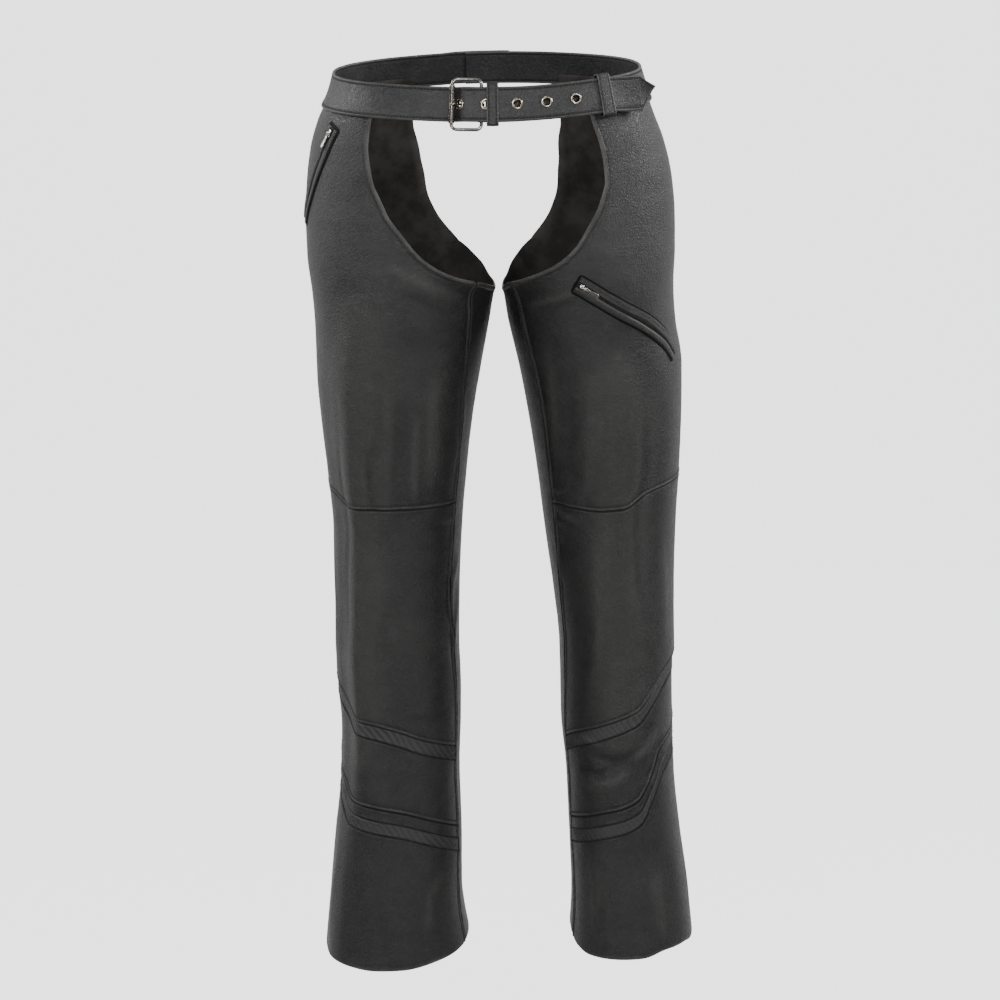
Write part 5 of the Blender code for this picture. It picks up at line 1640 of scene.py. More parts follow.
@dataclass
class ZipPocket:
    """A slanted pocket: two welts round a closed zip, its slider and its pull tab."""

    name: str
    leg: Leg
    body: str
    line: Rows
    mouth_half: float = 3.3 * MM
    welt_width: float = 6.5 * MM
    welt_edge: float = 0.6 * MM
    lay: float = 0.55 * MM
    crest: float = 2.15 * MM
    closing: float = 1.7 * MM
    gape: float = 1.1 * MM
    zip_half: float = 3.0 * MM
    zip_lift: float = 1.15 * MM
    slider_at: float = 8.0 * MM
    tooth_pitch: float = 1.7 * MM
    # Size and place of the near-black cord that paints the welts' shadow line
    shadow_line_half: float = 1.4 * MM
    shadow_line_at: float = 0.5 * MM
    stitch_at: float = 1.6 * MM
    corner: float = 3.0 * MM
    slider: SliderSize = SliderSize()

    def __post_init__(self) -> None:
        """Lay the pocket's centre line on the leg."""
        self.form = LegForm(self.leg)
        self.centre = places_along(in_metres(self.line), np.linspace(0.0, 1.0, 90))
        self.points = self.on_leg(self.centre)
        self.normals = self.form.normal(self.centre[:, 0], self.centre[:, 1])
        self.run = run_along(self.points)

    def on_leg(self, places: Array, lift: Array | float = 0.0) -> Array:
        """Points at a lift off the leg, without its fine creases."""
        return self.form.place(places[..., 0], places[..., 1], lift, fine=False)

    def strip(self, name: str, shifts: Array, tops: Array, finish: Material,
              masks: dict[str, Array], draw: Array | float = 0.0) -> Piece:
        """A strip beside the centre line.

        Args:
            name: The piece's name, without the pocket's.
            shifts: How far each of its lines lies from the centre line.
            tops: Each line's height over the leg.
            finish: Its material.
            masks: Named values for each line.
            draw: How far each line is drawn back towards the centre line.

        Returns:
            The piece.
        """
        outer, inner = [], []
        draws = np.broadcast_to(draw, (len(shifts), len(self.centre)))
        for shift, top, drawn in zip(shifts, tops, draws):
            full = self.form.shifted(self.centre, shift)
            share = (drawn / shift if shift else np.zeros(len(full)))[:, None]
            places = full + (self.centre - full) * share
            outer.append(self.on_leg(places, top))
            inner.append(self.on_leg(places, self.lay))
        return make_wall(f"{self.name}_{name}", np.stack(outer, 1), np.stack(inner, 1), [finish],
                         stack(self.run[:, None], shifts), masks=masks)

    def build_welt(self, side: str, finishes: Finishes) -> None:
        """A padded welt: its height over the leg is lay + (crest - lay) (1 - |2s - 1|^3)."""
        sign = 1.0 if side == "upper" else -1.0
        share = np.concatenate([[0.0, 0.04, 0.1], np.linspace(0.18, 0.82, 8), [0.9, 0.96, 1.0]])
        shifts = sign * (self.mouth_half + share * self.welt_width)
        height = self.crest - self.lay - self.welt_edge
        tops = self.lay + self.welt_edge + (1.0 - np.abs(2.0 * share - 1.0) ** 3.0) * height
        end = self.run[-1]
        shut = self.closing * (1.0 - np.exp(-((self.run / (19.0 * MM)) ** 4)))
        shut = shut - self.gape * bump(self.run, 0.62 * end, 0.14 * end)
        draw = sign * shut[None] * (1.0 - share[:, None]) ** 1.5
        # Painted highlight along the welt's mouth edge, and painted shade along its outer edge
        wear_and_sheen = bump(share, 0.12, 0.16)
        masks = {"edge": wear_and_sheen, "seam": bump(share, 1.0, 0.12), "ridge": wear_and_sheen}
        fit(self.strip(f"{side}_welt", shifts, tops, finishes.hide, masks, draw),
            f"{self.name}_welt_{side}")

    def build_zip(self, finishes: Finishes) -> None:
        """The zip's tape and, over its middle, its closed teeth."""
        share = np.linspace(-1.0, 1.0, 9)
        tops = self.zip_lift + 0.25 * MM * (1.0 - share**2)
        fit(self.strip("tape", share * self.zip_half, tops, finishes.tape,
                       {"ridge": np.zeros(9)}), f"{self.name}_zip")
        points, faces = join_parts(self.teeth())
        fit(make_piece(f"{self.name}_teeth", points, faces, [finishes.teeth]))

    def teeth(self) -> list[Pair]:
        """Teeth as small rounded bars, each past the middle from its own side."""
        side = unit(np.cross(self.normals, np.gradient(self.points, axis=0)))
        section = round_section(0.55 * MM, 0.42 * MM, 6)
        ends = np.array([[0.6], [1.0], [1.0], [0.6]])
        parts = []
        for k in range(int((self.run[-1] - 5 * MM) / self.tooth_pitch)):
            at = 2.5 * MM + k * self.tooth_pitch
            base, out, aside = (read_at(at, self.run, values)
                                for values in (self.points, self.normals, side))
            lean = 0.35 * MM * (-1) ** k
            path = base + aside * np.array([[-1.5], [-0.6], [0.6], [1.5]]) * MM
            path = path + aside * lean + out * (self.zip_lift + 0.48 * MM)
            parts.append(tube(path, np.broadcast_to(out, path.shape), section, scale=ends))
        return parts

    def frame_at(self, run_at: float) -> Pair:
        """Origin on the leg and axes along the zip, across it and out."""
        at, ahead = (read_at(one, self.run, self.centre) for one in (run_at, run_at + 8 * MM))
        origin = self.on_leg(at[None])[0]
        out = self.form.normal(at[:1], at[1:])[0]
        along = self.on_leg(ahead[None])[0] - origin
        along = unit(along - out * float(np.dot(along, out)))
        return origin, np.stack([along, np.cross(out, along), out])

    def slider_parts(self) -> list[Pair]:
        """A waisted body under an arched bridge, in mm."""
        size = self.slider
        x = np.linspace(-size.half_length, size.half_length, 19)
        half = size.half_width - size.waist_depth * bump(x, 0.0, size.waist_reach)
        from_end = size.half_length + size.blunt - np.abs(x)
        taper = np.clip(from_end / size.end_round, 0.25, 1.0) ** 0.6
        path = stack(x, 0.0, size.lift)
        body = tube(path, np.broadcast_to(OUTWARD, path.shape), round_section(1.0, 1.0, 20, 4.0),
                    scale=stack(half * taper, size.half_thick * taper))
        turn = np.linspace(math.pi, 0.0, 17)
        arch = stack(size.bridge_half * np.cos(turn), 0.0,
                     size.bridge_foot + size.bridge_rise * np.sin(turn) ** 0.7)
        side = stack(-np.sin(turn), 0.0, np.cos(turn))
        bridge = tube(arch, np.cross(side, [0.0, 1.0, 0.0]),
                      round_section(*size.bridge_wire, 12, 3.0))
        return [body, bridge]

    def tab_parts(self) -> list[Pair]:
        """A rounded eye and a tapered plate, in mm."""
        size = self.slider
        turn = round_turns(28)
        reach = square_reach(turn, 3)
        path = stack(size.eye_at + size.eye_half[0] * reach * np.cos(turn),
                     size.eye_half[1] * reach * np.sin(turn), size.tab_lift)
        eye = tube(path, np.broadcast_to(OUTWARD, path.shape),
                   round_section(*size.eye_wire, 10, 2.6), closed=True)
        x = np.concatenate([[4.0, 4.2, 4.6], np.linspace(5.2, 17.5, 12), [18.2, 18.7, 19.0]])
        scale = stack(*(np.interp(x, *np.transpose(rows)) for rows in (TAB_WIDTH, TAB_THICKNESS)))
        path = stack(x, 0.0, size.tab_lift)
        plate = tube(path, np.broadcast_to(OUTWARD, path.shape),
                     round_section(1.0, 1.0, 20, 5.0), scale=scale)
        return [eye, plate]

    def build_slider(self, finishes: Finishes) -> None:
        """The slider, fixed to the leg, and the pull tab on its own body."""
        origin, axes = self.frame_at(self.slider_at)
        for name, parts, finish, node, body in (
                ("slider_body", self.slider_parts(), finishes.bright, "slider", "chaps"),
                ("pull_tab", self.tab_parts(), finishes.nickel, "pull", self.body)):
            points, faces = join_parts(parts)
            piece = make_piece(f"{self.name}_{name}", origin + points * MM @ axes, faces, [finish])
            fit(piece, f"{self.name}_{node}", body)

    def build_edging(self, finishes: Finishes) -> None:
        """Stitches all round the welts, and a thin near-black cord there that paints their shadow
        line.
        """
        edge = self.mouth_half + self.welt_width
        sewing = Sewing(f"{self.name}_stitching", 3.2 * MM, 2.6 * MM, 0.36 * MM)
        points, normals = self.outline(edge + self.stitch_at)
        sewing.add(np.concatenate([points, points[:1]]),
                   np.concatenate([normals, normals[:1]]), 0.1 * MM)
        sewing.build(finishes.thread)
        # Painted shadow: a near-black cord along the welts' outline
        points, normals = self.outline(edge + self.shadow_line_at)
        cord, faces = tube(points + normals * 0.25 * MM, normals,
                           round_section(self.shadow_line_half, 0.6 * MM, 8), closed=True)
        fit(make_piece(f"{self.name}_shadow_line", cord, faces, [finishes.cord]))

    def outline(self, reach: float) -> Pair:
        """A rounded rectangle round the pocket: its points on the leg and the normals."""
        end = self.run[-1]
        past = reach - self.mouth_half - self.welt_width + 1.2 * MM
        plan = rounded_loop((end / 2 + past, reach), self.corner, 9)
        length = run_along(plan)
        at = np.linspace(0.0, length[-1], int(length[-1] / (1.5 * MM)))[:-1]
        plan = read_at(at, length, plan)
        along = plan[:, 0] + end / 2
        inside = np.clip(along, 0.0, end)
        base = read_at(inside, self.run, self.centre)
        tilt = read_at(inside, self.run, np.gradient(self.centre, self.run, axis=0))
        base = base + tilt * (along - inside)[:, None]
        aside = read_at(inside, self.run, self.form.shifted(self.centre, MM) - self.centre)
        places = base + aside * (plan[:, 1] / MM)[:, None]
        return (self.form.place(places[:, 0], places[:, 1], 0.0),
                self.form.normal(places[:, 0], places[:, 1]))

    def build(self, finishes: Finishes) -> None:
        """Build the pocket."""
        self.build_welt("upper", finishes)
        self.build_welt("lower", finishes)
        self.build_zip(finishes)
        self.build_slider(finishes)
        self.build_edging(finishes)


THIGH_POCKET = ((86.5, -202), (95, -218), (105, -233), (117, -248), (127, -262), (136, -277),
                (142, -292))
HIP_POCKET = ((157, -33), (160, -60), (163.5, -90), (167, -118), (170, -138))


# --- Belt --------------------------------------------------------------------------------


class BeltForm:
    """Places on the belt: arc length from the front centre, rise and lift off the body."""

    def __init__(self) -> None:
        """Measure the waist along the belt's mid line."""
        self.leg = LegForm(Leg.RIGHT)
        self.turns = np.linspace(-200.0, 200.0, 801)
        arcs = run_along(self.body(self.turns, 0.0))
        self.arcs = arcs - np.interp(0.0, self.turns, arcs)
        self.half_waist = float(np.interp(180.0, self.turns, self.arcs))

    def body(self, turn: Array, rise: Array | float) -> Array:
        """Point of the body behind the belt."""
        return self.leg.surface(90.0 - turn, belt_height(turn) + rise)

    def place(self, arc: Array, rise: Array, lift: Array) -> Array:
        """Points at an arc, a rise square to the mid line and a lift off the body."""
        arc, rise, lift = np.broadcast_arrays(arc, rise, lift)
        turn = np.interp(arc, self.arcs, self.turns)
        run = unit(self.body(turn + 0.5, 0.0) - self.body(turn - 0.5, 0.0))
        slide = np.sum((self.body(turn, rise) - self.body(turn, 0.0)) * run, axis=-1)
        turn = np.interp(arc - slide, self.arcs, self.turns)
        along = self.body(turn + 0.5, rise) - self.body(turn - 0.5, rise)
        up = self.body(turn, rise + MM) - self.body(turn, rise - MM)
        return self.body(turn, rise) + unit(np.cross(along, up)) * lift[..., None]


# Centre line of the outer strap: arc mm, lift mm, droop mm, lean of its top edge mm.
TAIL_LINE = (
    (-60.0, 2.0, 0.0, 0.0), (-41.0, 2.0, 0.0, 0.0), (-34.0, 2.6, 0.0, 0.0),
    (-23.2, 10.9, 0.0, 0.0), (-17.0, 11.3, 0.0, 0.0), (12.5, 11.2, 0.0, 0.0),
    (31.5, 9.5, 0.0, 0.0), (52.0, 7.2, 0.0, 0.0), (108.0, 7.2, 0.0, 0.0),
    (136.5, 7.2, 0.6, 0.0), (144.0, 7.7, 1.4, 0.6), (152.0, 8.9, 2.5, 1.6),
    (160.0, 10.8, 3.8, 2.7), (168.0, 13.3, 5.0, 3.6), (176.0, 16.4, 6.3, 4.4),
    (184.0, 20.4, 7.6, 5.0),
)
# Eyelets: centre arc mm, half length of their cell along the arc mm
EYELETS = ((-28.6, 5.4), (-1.0, 7.0), (31.5, 7.0), (63.0, 7.0), (94.5, 7.0))
# Turned section of an eyelet: radius mm, lift from the strap's mid plane mm
EYELET_SECTION = (
    (3.05, -2.0), (4.0, -2.12), (4.9, -2.0), (5.0, -1.75), (3.9, -1.6), (3.75, -1.3),
    (3.75, 1.3), (3.9, 1.62), (5.7, 1.62), (6.0, 1.75), (5.9, 2.0), (5.4, 2.3), (4.6, 2.5),
    (3.8, 2.42), (3.3, 2.1), (3.1, 1.6), (3.05, 0.0),
)
# Centre line of the buckle's strap before and after its loop: arc mm, lift mm, thickness mm
BUCKLE_STRAP_IN = (
    (165.0, 2.0, 3.0), (154.0, 2.0, 3.0), (145.0, 3.0, 3.0), (136.5, 3.2, 3.0),
    (121.5, 3.2, 3.0), (95.0, 3.2, 3.0), (67.0, 3.2, 3.0), (54.0, 3.2, 3.0),
    (44.0, 4.2, 2.8), (34.0, 5.9, 2.2), (24.0, 6.0, 2.0), (14.0, 6.0, 2.0), (3.5, 6.9, 2.0),
)
BUCKLE_STRAP_BACK = (
    (-3.5, 2.1, 2.0), (-0.5, 2.9, 2.0), (10.0, 3.25, 2.0), (22.0, 3.25, 2.0), (34.0, 3.25, 2.0),
)
# Prong after its eye: arc mm, lift mm
PRONG_LINE = (
    (-10.0, 7.6), (-14.0, 6.6), (-20.0, 5.6), (-24.1, 5.6), (-28.6, 6.6), (-32.1, 8.4),
    (-35.1, 10.8), (-38.8, 11.7),
)


# Keeper loops: name, first and last arc mm, outer lift mm, cut length m
KEEPERS = (("keeper_inner", -0.5, 12.0, 14.5, 0.115), ("keeper_outer", 121.5, 136.5, 9.9, 0.106))
# Distances in mm from a strap's edge, a strap's end and a keeper's edge that get points
STRAP_STOPS = np.array([0.0, 0.25, 0.6, 1.1, 1.8, 2.6, 3.2, 3.9])
END_STOPS = STRAP_STOPS[:6]
KEEPER_STOPS = np.array([0.0, 0.2, 0.5, 1.0, 1.7, 2.4])
# Roller from end to middle: share of its half length, and how far its rim falls there in mm
ROLLER_STOPS = ((1.0, 0.35), (0.99, 0.12), (0.96, 0.03), (0.9, 0.0), (0.5, 0.0))


@dataclass
class Belt:
    """The belt: two straps, two keepers, a roller buckle and five eyelets."""

    strap: float = 3.0 * MM
    half_height: float = STRAP_HALF_HEIGHT
    rest: float = 2.0 * MM
    lap_half: float = 25.0 * MM
    lap_step: float = 3.6 * MM
    lap_run_out: float = 7.0 * MM
    lap_ramp: float = 60.0 * MM
    tip: float = 184.0 * MM
    tip_length: float = 14.0 * MM
    tip_half_height: float = 3.0 * MM
    wire: float = 1.85 * MM
    heel_arc: float = -6.0 * MM
    heel_lift: float = 4.9 * MM
    roller_arc: float = -37.2 * MM
    roller_lift: float = 6.95 * MM
    roller_radius: float = 3.1 * MM
    roller_bore: float = 2.15 * MM
    roller_half: float = 20.0 * MM
    frame_half: float = 26.1 * MM
    frame_corner: float = 5.5 * MM
    loop_radius: float = 3.25 * MM
    slot_half: float = 3.5 * MM
    prong_half: float = 1.5 * MM
    prong_thick: float = 1.5 * MM
    prong_eye: float = 2.8 * MM
    keeper_leather: float = 1.1 * MM
    keeper_lift: float = 0.85 * MM
    keeper_half: float = 22.4 * MM
    keeper_corner: float = 2.6 * MM
    keeper_step: float = 1.5 * MM
    hole: float = 4.5 * MM
    stitch_inset: float = 3.2 * MM
    cut_width: float = 0.037
    tail_cut: float = 0.74
    buckle_strap_cut: float = 0.66

    def __post_init__(self) -> None:
        """Measure the waist and start the belt's sewing."""
        self.form = BeltForm()
        self.sewing = Sewing("belt_stitching", 3.6 * MM, 2.9 * MM, 0.40 * MM)

    def strap_columns(self) -> Array:
        """Distances across a strap from -1 to 1, close together at its edges."""
        half = self.half_height / MM
        middle = np.linspace(5.0, 2 * half - 5.0, 28) / half
        near = STRAP_STOPS / half
        return np.concatenate([near, middle, 2.0 - near[::-1]]) - 1.0

    def edge_drop(self, share: Array, half: Array) -> tuple[Array, Array, Array]:
        """How the strap's faces fall at its edges, and the masks of its worn rim and of painted
        shade in its stitch groove.
        """
        distance = (1.0 - np.abs(share)) * half / MM
        groove = self.stitch_inset / MM
        drop = 1.0 * np.exp(-((distance / 0.55) ** 1.5)) + 0.45 * bump(distance, groove, 0.8)
        drop = drop - 0.25 * bump(distance, 1.6, 0.8)
        # Painted shade along the stitch groove
        seam = 0.85 * bump(distance, groove, 0.7)
        return drop * MM, bump(distance, 0.0, 1.9), seam

    def tail_lift(self, arc: Array) -> Array:
        """Lift of the outer strap's mid plane, with the lap at the centre back."""
        lap_start = -(self.form.half_waist - self.lap_half - self.lap_run_out)
        high = self.rest + self.lap_step
        rows = [(-(self.form.half_waist + self.lap_half), high), (lap_start - self.lap_ramp, high),
                (lap_start, high), (lap_start + self.lap_half, self.rest)]
        rows += [(row[0] * MM, row[1] * MM) for row in TAIL_LINE]
        return smooth_through(column(rows, 0), column(rows, 1), arc)

    def tail_half(self, arc: Array) -> Array:
        """Half height of the outer strap: full, then tapering to a blunt point."""
        start = self.tip - self.tip_length
        return np.interp(arc, [start, self.tip], [self.half_height, self.tip_half_height])

    def tail_points(self, arc: Array, lift: Array, share: Array) -> Array:
        """Points of the outer strap at shares of its half height."""
        knots = np.asarray(column(TAIL_LINE, 0)) * MM
        droop = smooth_through(knots, column(TAIL_LINE, 2), arc) * MM
        lean = smooth_through(knots, column(TAIL_LINE, 3), arc) * MM
        return self.form.place(arc, share * self.tail_half(arc) - droop, lift + lean * share)

    def tail_arcs(self, start: float) -> Array:
        """Where the outer strap has rows of points: close at its ends, tip and eyelets."""
        ends = END_STOPS * MM
        arcs = [start + ends, np.arange(start + 4.5 * MM, self.tip - 15 * MM, 2.2 * MM),
                np.arange(self.tip - 15 * MM, self.tip - 3.2 * MM, 1.2 * MM), self.tip - ends]
        arcs += [centre * MM + np.linspace(-6.5, 6.5, 14) * MM for centre, _ in EYELETS]
        arcs = np.unique(np.round(np.concatenate(arcs), 5))
        arcs = arcs[np.concatenate([[True], np.diff(arcs) > 0.2 * MM])]
        arcs[-1] = self.tip
        return arcs

    def strap_wall(self, name: str, node: str, layers: Sequence[Array],
                   flat: tuple[Array, Array], keep: Array, masks: dict[str, Array],
                   length: float, finish: Material) -> None:
        """Make a strap from its two faces.

        Args:
            name: The piece's name.
            node: Its solid.
            layers: Points of its outer and of its inner face.
            flat: Its distances along and across, in metres.
            keep: Which cells of its grid exist.
            masks: Named values of the mesh.
            length: The length that it was cut to; not used.
            finish: Its material.
        """
        piece = make_wall(name, *layers, [finish], stack(*flat), keep, masks=masks)
        fit(piece, node)

    def build_tail(self, finishes: Finishes) -> None:
        """The outer strap: holes in front, a pointed tip, a lap behind."""
        start = -(self.form.half_waist + self.lap_half)
        arcs = self.tail_arcs(start)
        share = self.strap_columns()[None]
        path = stack(arcs, self.tail_lift(arcs))
        run = unit(np.gradient(path, axis=0))
        across = stack(-run[:, 1], run[:, 0])
        half = self.tail_half(arcs)[:, None]
        drop, wear_and_sheen, seam = self.edge_drop(share, half)
        for end in (start, self.tip):
            distance = np.abs(arcs - end)[:, None] / MM
            drop = drop + 0.9 * MM * np.exp(-((distance / 0.6) ** 1.5))
            wear_and_sheen = np.maximum(wear_and_sheen, bump(distance, 0.0, 2.6))
        rise = share * half
        keep = np.ones((len(arcs) - 1, share.shape[1] - 1), bool)
        mid_arc = (arcs[:-1] + arcs[1:])[:, None] / 2
        mid_rise = (rise[:-1, :-1] + rise[1:, 1:]) / 2
        for centre, _ in EYELETS:
            radius = np.hypot(arcs[:, None] - centre * MM, rise)
            drop = drop + 0.35 * MM * np.exp(-((radius / (7.0 * MM)) ** 4))
            keep &= np.hypot(mid_arc - centre * MM, mid_rise) > self.hole
        wave = 0.22 * MM * soft_noise(arcs[:, None] / MM, rise / MM, 17.0, 91)
        layers = []
        for side in (1.0, -1.0):
            off = side * (self.strap / 2 - drop) + wave
            layers.append(self.tail_points(arcs[:, None] + across[:, :1] * off,
                                           path[:, 1:] + across[:, 1:] * off, share))
        # Edges and ends wear lighter, wave crests get a painted sheen, and the stitch grooves
        # painted shade
        masks = {"edge": wear_and_sheen, "seam": seam, "ridge": np.clip(wave / (0.25 * MM), 0.0, 1.0)}
        self.strap_wall("outer_strap", "belt_strap", layers, (arcs[:, None], rise), keep, masks,
                        self.tail_cut, finishes.strap)
        self.sew_tail(start)

    def sew_tail(self, start: float) -> None:
        """Stitches along both edges of the outer strap and along its point."""
        arcs = np.concatenate([np.arange(start + 3 * MM, self.tip - 15 * MM, 2 * MM),
                               np.linspace(self.tip - 14.5 * MM, self.tip - 4 * MM, 12)])
        lift, half = self.tail_lift(arcs), self.tail_half(arcs)
        slope = np.where(arcs > self.tip - self.tip_length, 1.5, 1.0)
        for sign in (1.0, -1.0):
            share = sign * np.clip(1.0 - self.stitch_inset * slope / half, 0.0, 1.0)
            points = self.tail_points(arcs, lift + self.strap / 2, share)
            above = self.tail_points(arcs, lift + self.strap, share)
            self.sewing.add(points, unit(above - points), 0.30 * MM)

    def build_buckle_strap(self, finishes: Finishes) -> None:
        """The inner strap, folded round the heel bar with a slot in the fold."""
        around = np.arange(self.form.half_waist + self.lap_half, 175 * MM, -10 * MM)
        rows = [(arc / MM, self.rest / MM, 3.0) for arc in around] + list(BUCKLE_STRAP_IN)
        heel, lift, radius = (one / MM
                              for one in (self.heel_arc, self.heel_lift, self.loop_radius))
        loop_start = len(rows)
        for degrees in range(90, 271, 18):
            turn = math.radians(degrees)
            rows.append((heel + radius * math.cos(turn), lift + radius * math.sin(turn), 2.0))
        loop_end = len(rows)
        table = np.asarray(rows + list(BUCKLE_STRAP_BACK))
        knots = run_along(table[:, :2])
        first, last = knots[loop_start - 1], knots[loop_end]
        at = np.concatenate([np.arange(0.0, first, 2.2), np.arange(first, last, 0.6),
                             np.arange(last, knots[-1], 2.0), knots[-1:]])
        fine = smooth_at(at, knots, table) * MM
        path, thick = fine[:, :2], fine[:, 2:]
        run = unit(np.gradient(path, axis=0))
        across = stack(run[:, 1], -run[:, 0])
        share = self.strap_columns()[None]
        drop, wear_and_sheen, seam = self.edge_drop(share, np.full((len(at), 1), self.half_height))
        rise = share * self.half_height
        layers = []
        for side in (1.0, -1.0):
            off = side * (thick / 2 - drop * thick / self.strap)
            layers.append(self.form.place(path[:, :1] + across[:, :1] * off, rise,
                                          path[:, 1:] + across[:, 1:] * off))
        in_slot = ((at[:-1] > first - 0.5) & (at[1:] < last + 2.5))[:, None]
        keep = ~(in_slot & (np.abs(rise[:, :-1] + rise[:, 1:]) / 2 < self.slot_half))
        # Edges wear lighter and the stitch grooves get painted shade
        masks = {"edge": wear_and_sheen, "seam": seam, "ridge": np.zeros(1)}
        self.strap_wall("inner_strap", "belt_buckle_strap", layers, (at[:, None] * MM, rise),
                        keep, masks, self.buckle_strap_cut, finishes.strap)

    def keeper_loop(self, high: float) -> Array:
        """Rise, lift and outward direction round a keeper whose outer side is at a lift."""
        low, corner = self.keeper_lift, self.keeper_corner
        half = self.keeper_half - self.keeper_leather / 2
        centres = ((half - corner, high - corner), (-half + corner, high - corner),
                   (-half + corner, low + corner), (half - corner, low + corner))
        loop = []
        for index, centre in enumerate(centres):
            turn = np.radians(np.linspace(90 * index, 90 * index + 90, 9))
            out = stack(np.cos(turn), np.sin(turn))
            loop.append(np.concatenate([centre + corner * out, out], -1))
            end = math.radians(90 * index + 90)
            out = np.array([math.cos(end), math.sin(end)])
            a, b = (np.asarray(at) + corner * out for at in (centre, centres[(index + 1) % 4]))
            count = max(2, int(np.linalg.norm(b - a) / self.keeper_step))
            straight = a + (b - a) * (np.arange(1, count) / count)[:, None]
            loop.append(np.concatenate([straight, np.broadcast_to(out, straight.shape)], -1))
        return np.concatenate(loop)

    def build_keeper(self, name: str, first: float, last: float, top: float, length: float,
                     finishes: Finishes) -> None:
        """A loop of leather round both straps, with rounded corners and edges.

        Args:
            name: Its solid.
            first: The arc where it begins, in mm.
            last: The arc where it ends, in mm.
            top: The lift of its outer side, in mm.
            length: The length that it was cut to, in metres; not used.
            finishes: Every finish.
        """
        loop = self.keeper_loop(top * MM)
        width = last - first
        across = np.concatenate([KEEPER_STOPS, np.linspace(3.2, width - 3.2, 6),
                                 width - KEEPER_STOPS[::-1]])
        distance = np.minimum(across, width - across)
        drop = 0.32 * np.exp(-((distance / 0.4) ** 1.5)) + 0.16 * bump(distance, 2.2, 0.6)
        swell = 0.12 * np.sin(np.pi * across / width)
        arcs = (first + across)[None] * MM
        layers = []
        for side in (1.0, -1.0):
            off = (side * (self.keeper_leather / 2 - drop * MM) + swell * MM)[None]
            layers.append(self.form.place(arcs, loop[:, :1] + loop[:, 2:3] * off,
                                          loop[:, 1:2] + loop[:, 3:] * off))
        wear_and_sheen = bump(distance, 0.0, 1.3)
        run = np.arange(len(loop))[:, None] * self.keeper_step
        flat = stack(run, arcs)
        # Edges wear lighter, and the stitch grooves get painted shade
        piece = make_wall(f"{name}_loop", *layers, [finishes.strap], flat, closed=True,
                          masks={"edge": wear_and_sheen, "seam": 0.8 * bump(distance, 2.2, 0.6),
                                 "ridge": 0.2 * wear_and_sheen})
        fit(piece, name)
        inside = self.keeper_half - self.keeper_leather / 2 - 2 * MM
        rises = np.sort(loop[(loop[:, 3] > 0.99) & (np.abs(loop[:, 0]) < inside), 0])
        lift = np.full(len(rises), top * MM + self.keeper_leather / 2)
        for arc in (first + 2.2, last - 2.2):
            points, above = (self.form.place(np.full(len(rises), arc * MM), rises, lift + more)
                             for more in (0.0, MM))
            self.sewing.add(points, unit(above - points), 0.25 * MM)

    def build_frame(self, finishes: Finishes) -> None:
        """The buckle's frame: a wire bent to a rounded rectangle."""
        half_arc = (self.heel_arc - self.roller_arc) / 2
        middle = (self.heel_arc + self.roller_arc) / 2
        loop = rounded_loop((half_arc, self.frame_half), self.frame_corner, 13)
        run = run_along(loop)
        path = read_at(np.linspace(0.0, run[-1], 141)[:-1], run, loop)
        lift = np.interp(path[:, 0], [-half_arc, half_arc], [self.roller_lift, self.heel_lift])
        points, above = (self.form.place(path[:, 0] + middle, path[:, 1], lift + more)
                         for more in (0.0, MM))
        wire, faces = tube(points, unit(above - points), round_section(self.wire, self.wire, 20),
                           closed=True)
        fit(make_piece("buckle_wire", wire, faces, [finishes.nickel]), "buckle_frame")

    def build_roller(self, finishes: Finishes) -> None:
        """The buckle's roller: a sleeve with rounded rims."""
        share, fall = np.transpose(ROLLER_STOPS)
        rises = self.roller_half * np.concatenate([-share, [0.0], share[::-1]])
        thin = np.concatenate([fall, [0.0], fall[::-1]]) * MM
        turn = round_turns(36)[:, None]
        sides = [self.form.place(self.roller_arc + radius * np.cos(turn), rises[None],
                                 self.roller_lift + radius * np.sin(turn))
                 for radius in (self.roller_radius - thin, np.full(len(rises), self.roller_bore))]
        fit(make_wall("buckle_sleeve", *sides, [finishes.nickel], closed=True),
            "buckle_roller")

    def build_prong(self, finishes: Finishes) -> None:
        """The buckle's prong: an eye round the heel bar and a blade."""
        turn = np.radians(np.arange(210, 451, 12))
        eye = stack(self.heel_arc + self.prong_eye * np.cos(turn),
                    self.heel_lift + self.prong_eye * np.sin(turn))
        rough = np.concatenate([eye, np.asarray(PRONG_LINE) * MM])
        knots = run_along(rough)
        at = np.linspace(0.0, knots[-1], 90)
        line = smooth_at(at, knots, rough)
        run = unit(np.gradient(line, axis=0))
        over = line + stack(-run[:, 1], run[:, 0]) * MM
        points, above = (self.form.place(one[:, 0], np.zeros(90), one[:, 1])
                         for one in (line, over))
        end = np.clip((knots[-1] - at) / (2.0 * MM), 0.0, 1.0)
        begin = np.clip(at / (0.8 * MM), 0.0, 1.0)
        round_off = np.sqrt(np.clip(1 - (1 - end) ** 2, 0.05, 1)) * np.maximum(begin, 0.5)
        scale = stack(round_off * np.interp(at, [0, knots[-1]], [1.0, 0.85]), round_off)
        section = round_section(self.prong_half, self.prong_thick / 2, 16, 2.8)
        blade, faces = tube(points, unit(above - points), section, scale=scale)
        fit(make_piece("buckle_tongue", blade, faces, [finishes.nickel]),
            "buckle_prong")

    def build_eyelets(self, finishes: Finishes) -> None:
        """Turned rings with a rolled flange, set in the strap's holes."""
        turn = round_turns(40)[:, None]
        radius, depth = np.transpose(EYELET_SECTION)[:, None] * MM
